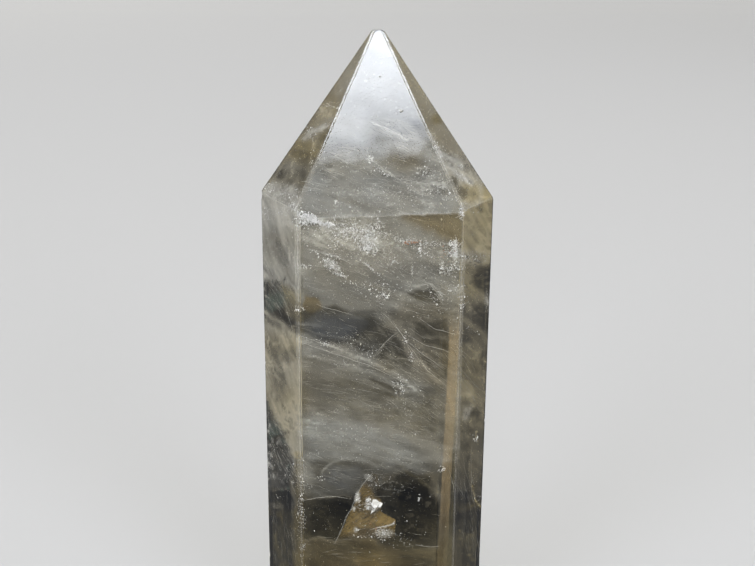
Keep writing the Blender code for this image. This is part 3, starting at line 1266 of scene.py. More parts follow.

# The golden shell-like break low in the front, its thin and dark places, and the milk on it. The break is
# real; its golden colour and its dark places are painted reflection from its mirror-like inner faces.
BREAK_OUTLINE = (
    (-0.3, 42.6), (-1.2, 41.4), (-2.2, 40), (-2.9, 38.5), (-3, 37.4), (-3.6, 36.2), (-4.2, 35.1),
    (-4.7, 33.5), (-5.3, 32.1), (-6.1, 30.6), (-6.4, 29.9), (-4.4, 30.9), (-2, 30.9), (0.4, 30.6),
    (2.4, 30.4), (3.3, 30.9), (3.45, 33.7), (3.4, 34.4), (2.4, 35), (1.2, 35.7), (1.1, 36.5), (1.4, 37.2),
    (1, 38), (0.5, 38.7), (0.9, 39.8), (0.6, 41.2), (0.5, 42.2),
)
BREAK_RIM = ((-0.3, 42.6), (-1.9, 40.5), (-2.9, 38.5), (-3.6, 36.2), (-4.3, 35), (-5.4, 31.9), (-6.3, 29.9))
BREAK_COVER = (
    Cloud(0.5, 39.6, 1, 1.6, 0.1, 0.95),
    Cloud(-0.5, 41.4, 1.3, 1.7, 0.15, 0.9),
    Brush(-0.6, 41, 3, 2, 60, 0.8, 0.8, 14, 0.7, 0.1, 40, 50),
    Stroke(((-6.4, 30.3), (-3, 30.6), (0.8, 30.3), (3.2, 30.5)), 1.3, 0.12, 0.9),
    Cloud(1.8, 31.8, 1.2, 0.8, 0.5),
    Brush(-1, 36, 9, 12, 40, 0.35, 0.75, 40, 0.9, 0.22, 50, 18),
)
# Where the break's painted reflection turns dark
BREAK_PAINTED_DARKS = (
    Patch(((-4.2, 35.6), (-2, 36.4), (0.6, 35.8), (1.6, 33.6), (-1, 32), (-5.4, 31.6)), 0.5, rim=0.7),
    Patch(((0, 34), (1.2, 35.5), (3.5, 34.6), (3.4, 33.5), (1.6, 33)), 0.05, rim=0.6),
    Brush(1.6, 34.4, 4, 2, -10, 0.45, 0.7, 16, 1.2, 0.14, 16, 48),
    Cloud(-3.8, 32.5, 0.9, 0.5, 0.12, 0.9, 20),
    Cloud(-2.6, 34.8, 0.9, 0.6, 0.3, 0.9, 30),
    Cloud(-1, 39.2, 0.8, 0.7, 0.55, 0.9),
    Cloud(-0.4, 41.2, 1.4, 1.7, 0.88, 0.95),
    Cloud(0.5, 39.2, 0.7, 1.2, 1, 0.95),
    Cloud(-2.4, 36.5, 1, 0.9, 0.95, 0.85),
    Cloud(-1.9, 38.2, 0.6, 0.9, 0.85),
    Stroke(((-1.6, 34.6), (-0.1, 35.5), (0.9, 36.2)), 0.24, 1, 0.9),
    Stroke(((-0.9, 34.2), (0.2, 34.9)), 0.16, 0.9),
    Stroke(((1.2, 35.9), (2.4, 35.4), (3.4, 34.9)), 0.28, 1, 0.9),
    Cloud(-1.6, 32.2, 1.6, 0.9, 0.9, 0.9),
    Cloud(1.8, 31.9, 1.6, 0.8, 0.75, 0.9),
    Stroke(((-6.4, 30.6), (-3, 30.9), (0.8, 30.6), (3.2, 30.8)), 0.8, 1, 0.9),
    Brush(-1.5, 35.5, 8, 9, 60, 0.95, 0.75, 46, 1.1, 0.14, 40, 15),
    Brush(-1.5, 34, 7, 4, 30, 0.15, 0.7, 26, 0.9, 0.12, 40, 49),
)
# Pale milk on the break; round the white splinters it is a painted glint
BREAK_MILK_AND_GLINT = (
    Cloud(-2.7, 38.3, 0.45, 1.2, 0.62, 0.9, -12),
    Cloud(-3.2, 36.2, 0.3, 0.5, 0.6, 0.9, -12),
    Cloud(-0.2, 36.9, 1.2, 1.2, 0.42),
    Cloud(1.5, 31.9, 1.7, 0.9, 0.4),
    Brush(1.4, 32.1, 3, 1.4, 60, 0.85, 0.8, 16, 0.6, 0.1, 40, 39),
    Cloud(-1, 41.8, 0.6, 0.9, 0.25, 0.8, 50),
    Stroke(BREAK_RIM, 0.08, 0.3),
    Cloud(2.4, 33.4, 1, 0.22, 0.45, 0.9, 12),
    Cloud(-3, 32.4, 0.4, 0.6, 0.5, 0.9),
    Brush(2.8, 40.2, 2.4, 3, 84, 0.16, 0.8, 22, 0.9, 0.12, 10, 40),
)

# The golden strip along the right long edge: a painted reflection, the far right face as it shows through the
# front
STRIP_SIDES = ((12.6, 58), (12.2, 44), (11.85, 26), (11, 0), (9.3, 0), (10.15, 26), (10.6, 44), (10.95, 58))
STRIP_AREA = Patch(((11.1, 71.5), (12.75, 71.5), *STRIP_SIDES), 1, rim=0.14)
STRIP_REFLECTION_COVER = (
    Patch(((11.1, 70.5), (12.75, 70.5), *STRIP_SIDES), 0.26, rim=0.3),
    Cloud(11.8, 72.6, 2.5, 7.5, 0, 1),
    Cloud(11.2, 24, 2.5, 14, 0.05, 1),
    Cloud(11.6, 44, 2.5, 6, 0.19, 0.6),
    Brush(11.4, 50, 3, 36, -20, 0.18, 0.5, 60, 2.2, 0.25, 12, 51),
)

# Deeper behind the wide face
DEEP_MILK = (
    Cloud(-4, 78, 9, 6, 0.16, 1),
    Cloud(4, 49, 9, 5, 0.1, 1),
    Cloud(-6, 34, 6, 5, 0, 1),
    Cloud(7, 36, 5, 7, 0, 1),
    Cloud(-5, 66.5, 6, 3, 0.03, 1),
    Stroke(((-12, 60), (0, 66), (12, 74)), 1, 0.12),
)
# Where that painted see-through image lies, in the dark windows
BACKDROP_SEEN_THROUGH_COVER = (
    Cloud(-6.4, 67, 5.4, 2.6, 0.085, 1), Cloud(-4.8, 42, 3.4, 2.4, 0.07, 1),
)

# Behind the left side of the prism
LEFT_LIP = ((-14, 73.5), (-11, 72), (-11, 66), (-12.6, 66.8), (-13.6, 70.4))
LEFT_MILK = (
    Patch(((-19, 73.5), (-16, 74.5), (-14, 73.8), (-12.6, 71.5), (-11, 70), (-11, 90), (-19, 90)), 0.92,
          rim=1.6),
    Cloud(-15.6, 80, 1.4, 2.6, 0.74),
    Cloud(-13.4, 83.5, 2, 2, 1),
    Patch(LEFT_LIP, 0.42),
    Patch(((-17.3, 74.2), (-16.1, 74.6), (-14.6, 74), (-13.6, 70.6), (-12.3, 66.6), (-12.4, 65.4),
           (-13.8, 66.4), (-15.4, 69), (-17.3, 70.8)), 0.03, rim=0.7),
    Brush(-14.9, 70.8, 8, 3.4, -64, 0.7, 0.9, 26, 1.8, 0.13, 10, 22),
    Brush(-14.4, 72, 9, 4, -66, 0.02, 0.7, 26, 2, 0.16, 10, 41),
    Stroke(((-17.6, 69.8), (-14.6, 67.4), (-12, 64.9)), 0.45, 0.8),
    Patch(((-19, 54.5), (-17, 55), (-14, 48.5), (-12.4, 43.5), (-11, 43.5), (-11, 64.4), (-14, 66.4),
           (-19, 68.6)), 0.86, rim=0.9),
    Cloud(-12.9, 62.4, 1.2, 1.6, 0.34, 0.9, -60),
    Cloud(-15.5, 58.5, 1.5, 2.4, 0.84, 0.7),
    Brush(-14.6, 58.5, 12, 4, -66, 0.95, 0.6, 34, 3, 0.14, 9, 28),
    Brush(-14.6, 58.5, 12, 4, -70, 0.4, 0.6, 26, 3, 0.16, 9, 29),
    Patch(((-19, 55.4), (-16.9, 55.4), (-15.4, 52.6), (-13.9, 48.4), (-12.9, 44.6), (-13.2, 43),
           (-15.2, 45.2), (-17.6, 46)), 0.02, rim=0.9),
    Brush(-15.7, 49.8, 9, 3, -72, 0.8, 0.9, 30, 1.6, 0.12, 10, 21),
    Brush(-15, 52, 9, 3.4, -68, 0.02, 0.7, 34, 1.8, 0.16, 10, 42),
    Patch(((-17.6, 46.2), (-14, 46.4), (-13.4, 43), (-13.6, 39.8), (-17.4, 39.8)), 0.12, rim=0.7),
    Brush(-15.4, 42.8, 7, 4, -82, 0, 0.85, 44, 1.8, 0.16, 10, 24),
    Brush(-15.4, 42.8, 7, 4, -80, 0.9, 0.9, 26, 1.6, 0.12, 10, 27),
    Stroke(((-17, 48), (-16.95, 44), (-16.9, 40.2)), 0.25, 0.9),
    Patch(((-13.1, 44.8), (-11, 46), (-11, 22), (-12.8, 22)), 0.28, rim=0.35),
    Brush(-12, 36, 14, 2, -86, 0, 0.8, 30, 2.4, 0.14, 8, 30),
    Patch(((-16.3, 39.3), (-13.2, 39.5), (-13, 35.2), (-16.2, 35.2)), 0, rim=0.35),
    Cloud(-15.4, 36.9, 1, 0.5, 0.26),
    Cloud(-16.9, 37.6, 0.45, 1.8, 0.4),
    Patch(((-19, 35.2), (-12.6, 35.2), (-12.6, 20), (-19, 20)), 0, rim=0.7),
    Brush(-14.8, 28, 14, 4.6, -87, 0.24, 0.85, 24, 4, 0.26, 4, 23),
    Brush(-14.8, 28, 14, 4.6, -87, 0, 0.8, 30, 4, 0.16, 4, 31),
    Cloud(-15, 12, 5, 5, 0.2),
)
LEFT_WARMTH = (
    Patch(((-19, 72), (-11, 70), (-11, 90), (-19, 90)), 0.12, rim=1.5),
    Patch(LEFT_LIP, 0.75),
    Patch(((-19, 56), (-13, 45), (-11, 44), (-11, 65), (-19, 66)), 0.52, rim=1.5),
    Patch(((-19, 56), (-16.9, 55.4), (-12.9, 44.6), (-13.4, 40), (-19, 40)), 0, rim=0.5),
    Patch(((-19, 36), (-12.6, 36), (-12.4, 46), (-11, 46), (-11, 18), (-19, 18)), 1),
)
TEAL_MILK = (
    Cloud(-15.6, 71, 1.6, 3.6, 0.26, 1, -60),
    Cloud(-15.8, 50, 1.5, 4.4, 0.3, 1, -70),
    Brush(-15.6, 47, 12, 4, -75, 0.4, 0.8, 26, 1.4, 0.2, 14, 38),
)

# Behind the right side of the prism
RIGHT_MILK = (
    Patch(((12, 77.6), (14.4, 78.2), (16, 77.4), (18.5, 77.6), (18.5, 90), (12, 90)), 0.86, rim=1),
    Cloud(15.5, 85.8, 0.5, 0.8, 0.35, 0.9),
    Cloud(14.6, 81.5, 1, 2.2, 0.66),
    Brush(15, 82, 9, 5, -60, 0.45, 0.6, 26, 1.8, 0.2, 30, 33),
    Patch(((12, 78.4), (15, 78), (15, 74), (14.6, 71.5), (12, 70.5)), 0.62),
    Patch(((14.9, 75.2), (15.4, 76.6), (16.6, 76.8), (17.3, 75.6), (17, 74), (16, 73.6), (15.2, 74.2)), 0.06,
          rim=0.7),
    Brush(16, 75, 4, 4, -60, 0.02, 0.8, 26, 0.9, 0.2, 40, 43),
    Brush(15, 75.4, 4, 4, -50, 0.55, 0.7, 14, 0.9, 0.14, 40, 44),
    Patch(((12.4, 73.4), (15, 73.4), (16.8, 72.6), (17.4, 70.2), (14.5, 70.6), (12.4, 71)), 0.62, rim=0.6),
    Cloud(17, 71.4, 0.5, 1.6, 0.95, 0.9),
    Patch(((13.8, 70.2), (15.6, 70.6), (17.4, 69.6), (17.4, 67), (15.4, 67.8), (13.4, 69)), 0.12, rim=1),
    Brush(15.4, 69.6, 5, 4, -45, 0.6, 0.8, 14, 1.2, 0.26, 40, 45),
    Brush(15.4, 69, 5, 3, -40, 0.02, 0.8, 16, 1, 0.32, 40, 46),
    Stroke(((12.4, 68.8), (14.6, 67.2), (17.6, 64.8)), 0.5, 0.42, 0.75),
    Patch(((12, 66.8), (17.8, 64.6), (17.6, 59.5), (12, 59.5)), 0.46, rim=1.1),
    Cloud(16.6, 61.6, 0.8, 2.4, 0.08, 0.9),
    Cloud(13.4, 61, 0.6, 1.6, 0.12, 0.9),
    Cloud(13.6, 65, 1, 1, 0.1, 0.9),
    Brush(14.8, 62.6, 7, 5, 60, 0.1, 0.8, 20, 1.4, 0.34, 30, 25),
    Brush(14.8, 62.6, 7, 5, -40, 0.7, 0.85, 18, 1.2, 0.3, 30, 34),
    Patch(((12, 59.6), (17.8, 59.6), (17.6, 50.5), (12, 50.5)), 0.32, rim=1.2),
    Cloud(13.9, 57, 1.4, 2, 0.62, 0.85),
    Cloud(16.6, 58.4, 0.7, 1.6, 0.5),
    Cloud(14.2, 53.2, 0.9, 1.3, 0.74, 0.9),
    Cloud(13, 50.6, 0.7, 1.2, 0.46),
    Cloud(15.8, 53.2, 0.8, 1.5, 0.02, 0.95),
    Cloud(15.2, 60.2, 0.9, 1, 0.22),
    Cloud(17, 56.4, 0.4, 1.2, 0.7),
    Cloud(13.6, 57.5, 1.2, 1.6, 0.5),
    Brush(14.8, 54.8, 9, 5, -58, 0.72, 0.8, 18, 1.6, 0.3, 30, 35),
    Brush(14.8, 54.8, 9, 5, -50, 0.04, 0.8, 18, 1.4, 0.32, 30, 36),
    Patch(((12, 50.5), (17.6, 50.5), (17.2, 45.8), (12, 45.8)), 0.2, rim=1.2),
    Cloud(13.8, 48.6, 1, 1, 0.46),
    Brush(14.8, 47.5, 9, 5, 70, 0.02, 0.85, 20, 1.2, 0.36, 40, 47),
    Brush(14.6, 45, 12, 4.6, 78, 0.55, 0.75, 18, 1.4, 0.26, 30, 48),
    Brush(14.6, 41, 12, 4.6, 80, 0, 0.85, 20, 1.6, 0.32, 24, 49),
    Stroke(((15.9, 50.2), (15.6, 48.8), (16, 48)), 0.14, 0.95, 0.9),
    Patch(((12, 45.8), (17.2, 45.8), (17, 40.6), (15, 39.8), (13.4, 36.4), (12, 36)), 0.13, rim=0.7),
    Patch(((14.9, 46.5), (16.9, 46.5), (16.8, 41), (15.5, 41)), 0.3, rim=0.4),
    Cloud(14.2, 38.4, 1.2, 1.6, 0, 0.95),
    Stroke(((15.1, 47.5), (15.2, 42), (15.5, 39.5)), 0.12, 0.5),
    Patch(((12, 36.2), (17.4, 36.6), (17, 20), (12, 20)), 0),
    Stroke(((17, 36.6), (16.3, 37.8), (15.8, 39.2), (15.6, 40.4)), 0.14, 0.95, 0.9),
    Brush(14.6, 30, 16, 5, -60, 0.24, 0.8, 30, 1.4, 0.26, 40, 37),
    Brush(14.6, 30, 16, 5, 70, 0, 0.8, 34, 1.6, 0.22, 30, 26),
    Cloud(15, 12, 5, 5, 0.2),
)
RIGHT_WARMTH = (
    Cloud(14, 78, 2.6, 1.4, 0.5),
    Cloud(17, 71.4, 0.8, 2, 0.2),
    Cloud(14.2, 53.2, 1.2, 1.6, 0.25),
    Cloud(15.9, 40.2, 0.6, 1, 1, 0.9),
    Patch(((12, 38), (17.6, 38), (17.4, 18), (12, 18)), 1, rim=1),
)

# Behind the three seen faces of the point
TIP_MILK = (
    Patch(((-13.5, 84), (13.8, 84), (9.8, 93.5), (4, 95), (-3, 94.5), (-9.5, 93)), 0.36, rim=1.2),
    Patch(((-11, 91.6), (-7.4, 91.4), (-4.5, 89.6), (-6.4, 88.4), (-11.4, 88.8)), 0.19, rim=0.6),
    Cloud(-7, 92, 0.9, 0.7, 0.14, 0.9),
    Cloud(-1.5, 90.2, 2.4, 0.9, 0.26, 0.7, -20),
    Stroke(((0.2, 91.6), (1.4, 90.5), (3.2, 89.9)), 0.42, 0.06, 0.9),
    Cloud(6.2, 97.8, 2, 1.2, 0.01, 1, -8),
    Cloud(3.4, 99.2, 1.6, 0.5, 0.1, 0.7, -6),
    Cloud(4, 93, 3.2, 1.3, 0.2, 0.85, -14),
    Cloud(7, 91, 1.1, 0.7, 0.12),
    Cloud(9, 88, 2.2, 0.6, 0.18),
    Cloud(6, 87, 4, 0.7, 0.26, 0.7),
    Cloud(-3.5, 97.4, 3.5, 2.6, 0.34),
    Cloud(2, 103, 4, 5, 0.22, 0.7),
    Brush(0, 89.5, 18, 7, -16, 0.5, 0.6, 60, 4, 0.22, 10, 31),
    Brush(0, 90, 18, 7, -14, 0.2, 0.55, 40, 3, 0.22, 12, 32),
    Brush(4, 95, 8, 5, -20, 0.42, 0.6, 20, 3.4, 0.2, 10, 33),
    Stroke(((-1.5, 93.4), (0.6, 91.6), (3, 89.9), (6, 89.4), (9.6, 89.1), (11.5, 89.6)), 0.2, 0.55),
    Stroke(((-0.6, 98.2), (1.8, 97.2), (4.2, 96)), 0.25, 0.6),
    Stroke(((4.8, 96.4), (8.5, 93), (11.4, 91.6)), 0.6, 0.48, 0.7),
    Stroke(((-9.4, 89.8), (-4, 88.2), (2, 87.4), (8, 86.4)), 0.6, 0.44, 0.6),
)
TIP_WARMTH = (
    Cloud(3.8, 92.6, 3.4, 1.6, 0.4, 1),
    Cloud(-9, 90, 3, 2, 0.05, 1),
    Cloud(6, 97.8, 2, 1.2, 0, 1),
)
LEFT_TIP_MILK = (
    Patch(((-19, 84), (-11, 84), (-11.4, 88), (-14, 89.6), (-19, 88.8)), 0.5, rim=0.6),
    Cloud(-7, 100, 1.6, 3.4, 0.42, 0.8, 60),
    Stroke(((-10.4, 95.8), (-9.3, 97), (-7.6, 97.4)), 0.4, 0.6),
    Cloud(-7.9, 96, 0.8, 1.2, 0.05, 1, 60),
    Cloud(-11.2, 94.2, 1.2, 2.4, 0.2, 0.9, 55),
    Cloud(-9.9, 93.2, 0.6, 1.8, 0.08, 0.9, 65),
    Cloud(-12, 92.2, 0.9, 0.9, 0.46),
    Cloud(-13.8, 90.5, 0.9, 0.9, 0.06, 1),
    Cloud(-10.8, 90.2, 0.8, 1.6, 0.1, 0.9),
    Stroke(((-9, 95.2), (-9.4, 92.4)), 0.3, 0.6, 0.7),
    Brush(-11.6, 92, 10, 4, 55, 0.55, 0.7, 40, 1, 0.18, 40, 41),
    Brush(-11, 92, 10, 5, 65, 0.04, 0.7, 30, 1.2, 0.26, 30, 52),
    Cloud(-5, 104, 2.5, 5, 0.34, 0.9, 65),
)
LEFT_TIP_WARMTH = (
    Patch(((-19, 84), (-11, 84), (-11, 88.5), (-19, 90)), 0.05),
    Cloud(-4, 105, 3, 6, 0.1, 1),
    Cloud(-10.8, 94.2, 2.4, 4, 1, 0.9, 60),
    Stroke(((-10.4, 95.8), (-9.3, 97), (-7.6, 97.6), (-6.4, 98.4)), 0.5, 0),
)
BRIGHT_EDGE = ((7.8, 95.4), (9.4, 93.6), (12.3, 91.8))
BRIGHT_FOOT = ((10.3, 91.8), (11.6, 90.8), (13.6, 89.5))
RIGHT_TIP_MILK = (
    Patch(((10, 84), (19, 84), (19, 88), (15, 90), (11.5, 92), (8.5, 88)), 0.78),
    Cloud(8.7, 98.6, 0.9, 0.7, 0.2, 0.9),
    Cloud(10.4, 96.4, 1.6, 2.4, 0.28, 0.8, 35),
    Stroke(BRIGHT_EDGE, 0.45, 0.68),
    Stroke(BRIGHT_FOOT, 0.5, 0.95),
    Stroke(((12.8, 90.4), (14.6, 89.2)), 0.3, 0.7, 0.7),
    Cloud(11.2, 89.8, 0.7, 1.1, 0.08, 0.9, 30),
    Cloud(12.3, 88, 0.8, 1.4, 0.14, 0.9, 30),
    Brush(13, 89, 8, 4, -50, 0.16, 0.7, 30, 1, 0.22, 40, 53),
    Brush(12.5, 91, 9, 4, -48, 0.7, 0.6, 26, 2, 0.14, 14, 42),
)
RIGHT_TIP_WARMTH = (
    Patch(((15, 84), (18.5, 84), (18.5, 88.6), (15.6, 91)), 0.9, rim=0.5),
    Cloud(13.6, 88, 2.2, 2, 0.85, 0.9, -50),
    Cloud(8.7, 98.8, 1.2, 1, 0.95, 0.9),
    Stroke(BRIGHT_EDGE, 0.55, 0),
    Stroke(BRIGHT_FOOT, 0.5, 0),
)

# Behind the far sides of the prism and of the point
FAR_MILK = (
    Cloud(-3, 78, 13, 5, 0.3, 0.9, 10),
    Cloud(0, 61, 14, 5, 0.01, 0.95),
    Cloud(-2, 48, 13, 5, 0.22, 0.9, 12),
    Stroke(((-13, 66), (-4, 68), (6, 71), (13, 73)), 0.6, 0.3, 0.7),
    Cloud(0, 32, 14, 8, 0.01, 0.95),
    Cloud(-5, 20, 10, 4, 0.16, 0.9, -16),
    Cloud(3, 7, 11, 4, 0.24, 0.9, 8),
    Stroke(((-10, 33), (0, 42), (9, 46)), 0.3, 0.2, 0.6),
)
FAR_TIP_MILK = (Cloud(0, 88, 12, 3, 0.2, 1), Cloud(2, 98, 4, 4, 0.04, 1))


def front_veils(face: Plane) -> list[Veil]:
    """List the veils behind the wide face of the prism, with the break low in it, whose colours are painted
    reflection.
    """
    return [
        Veil(
            "front_veil", face, -13.2, 13.6, 0.5, 86.0, 1.7, 0.7, 3, MILKY, spacing=0.19, base=0.2,
            milk=FRONT_MILK, warmth_base=0.16, warmth=FRONT_WARMTH, grain_angle=-17.0, grain=0.22,
        ),
        Veil(
            "front_deep_veil", face, -13.2, 13.6, 0.5, 86.0, 6.5, 1.6, 11, MILKY, spacing=0.3, base=0.05,
            milk=DEEP_MILK, warmth_base=0.35, warmth=(Cloud(0, 24, 16, 9, 1),), grain_angle=-38.0,
            grain=0.75,
        ),
        Veil(
            "golden_break_painted_reflection", face, -7.2, 4.2, 29.3, 43.2, 1.1, 0.3, 17, BREAK, spacing=0.08, base=0.92,
            milk=BREAK_COVER, warmth_base=0.5, warmth=BREAK_PAINTED_DARKS, grain=0.15, swirl=0.45,
            bounds=Patch(BREAK_OUTLINE, 1, rim=0.1), ripple=0.015, ripple_middle=(-0.4, 37.6),
            ripple_length=1.4, wispy=0.0,
        ),
        Veil(
            "pale_break_and_glint", face, -7.0, 4.6, 29.5, 43.2, 0.75, 0.1, 18, MILKY, spacing=0.1,
            milk=BREAK_MILK_AND_GLINT, swirl=0.15, wispy=0.0,
        ),
        # a bluish sheet that paints the dark surroundings seen through the crystal
        Veil(
            "backdrop_seen_through", face, -12.2, 2.0, 38.0, 70.0, 3.2, 0.5, 12, BLUISH, spacing=0.3,
            milk=BACKDROP_SEEN_THROUGH_COVER, warmth_base=0.0,
        ),
    ]


def side_veils(left: Plane, front: Plane, right: Plane) -> list[Veil]:
    """List the veils behind the sides of the prism, and the golden strip between front and right, a painted
    reflection.
    """
    return [
        Veil(
            "left_veil", left, -19.0, -11.0, 0.5, 90.0, 0.9, 0.35, 21, SIDE, spacing=0.15, base=0.10,
            milk=LEFT_MILK, warmth_base=0.4, warmth=LEFT_WARMTH, grain_angle=-72.0, grain=0.8, wispy=0.9,
        ),
        Veil(
            "teal_haze", left, -19.0, -12.0, 39.0, 76.0, 1.6, 0.3, 24, TEAL, spacing=0.22,
            milk=TEAL_MILK, grain=0.6,
        ),
        Veil(
            "right_veil", right, 11.6, 19.0, 0.5, 90.0, 0.9, 0.35, 22, SIDE, spacing=0.15, base=0.12,
            milk=RIGHT_MILK, warmth_base=0.72, warmth=RIGHT_WARMTH, grain_angle=-48.0, grain=0.8, wispy=0.9,
        ),
        Veil(
            "golden_strip_painted_reflection", front, 9.2, 13.0, 0.5, 72.0, 0.75, 0.1, 23, GOLDEN_STRIP_REFLECTION, spacing=0.12,
            milk=STRIP_REFLECTION_COVER, warmth_base=0.35, grain_angle=88.0, grain=0.12, swirl=0.05, bounds=STRIP_AREA,
        ),
    ]


def tip_veils(left: Plane, front: Plane, right: Plane) -> list[Veil]:
    """List the veils behind the three seen faces of the point."""
    return [
        Veil(
            "tip_veil", front, -13.6, 14.0, 83.6, 111.0, 1.1, 0.45, 31, MILKY, spacing=0.17, base=0.2,
            milk=TIP_MILK, warmth_base=0.1, warmth=TIP_WARMTH, grain_angle=-16.0,
        ),
        Veil(
            "left_tip_veil", left, -19.0, 1.0, 84.0, 111.0, 0.8, 0.3, 32, SIDE, spacing=0.17, base=0.24,
            milk=LEFT_TIP_MILK, warmth_base=0.5, warmth=LEFT_TIP_WARMTH, grain_angle=58.0, grain=0.4,
            swirl=0.35,
        ),
        Veil(
            "right_tip_veil", right, 0.0, 19.0, 84.0, 111.0, 0.8, 0.3, 33, SIDE, spacing=0.17, base=0.36,
            milk=RIGHT_TIP_MILK, warmth_base=0.35, warmth=RIGHT_TIP_WARMTH, grain_angle=-50.0, swirl=0.35,
        ),
    ]


def hidden_veils(crystal: Crystal) -> list[Veil]:
    """List the veils behind the faces that look away from the camera."""
    made = [
        Veil(
            "back_veil", crystal.facing(180), -13.5, 13.5, 0.5, 86.0, 1.6, 0.7, 41, MILKY, Through.FACE,
            base=0.10, milk=FAR_MILK, warmth_base=0.35, grain_angle=16.0, grain=0.6,
        )
    ]
    for number, azimuth in enumerate((-120, 120)):
        made.append(Veil(
            f"side_veil_{number}", crystal.facing(azimuth), -8.0, 8.0, 0.5, 87.0, 1.2, 0.5, 51 + number,
            MILKY, Through.FACE, base=0.05, milk=FAR_MILK[1:], warmth_base=0.45,
            grain_angle=40.0 - 80.0 * number, grain=0.7,
        ))
    for number, azimuth in enumerate((180, -120, 120)):
        made.append(Veil(
            f"far_tip_veil_{number}", crystal.facing(azimuth, TIP_TILT), -14.0, 14.0, 84.0, 111.0, 1.1, 0.4,
            61 + number, MILKY, Through.FACE, base=0.08, milk=FAR_TIP_MILK, warmth_base=0.4,
            grain_angle=25.0, grain=0.7,
        ))
    return made


def veils(crystal: Crystal) -> list[Veil]:
    """List the veils behind every face.

    Args:
        crystal: the crystal, for its faces.

    Returns:
        The veils.
    """
    left, front, right = crystal.seen()
    seen = front_veils(front) + side_veils(left, front, right) + tip_veils(*crystal.seen(TIP_TILT))
    return seen + hidden_veils(crystal)


# ------------------------------------------------------------------ the sparks, face by face

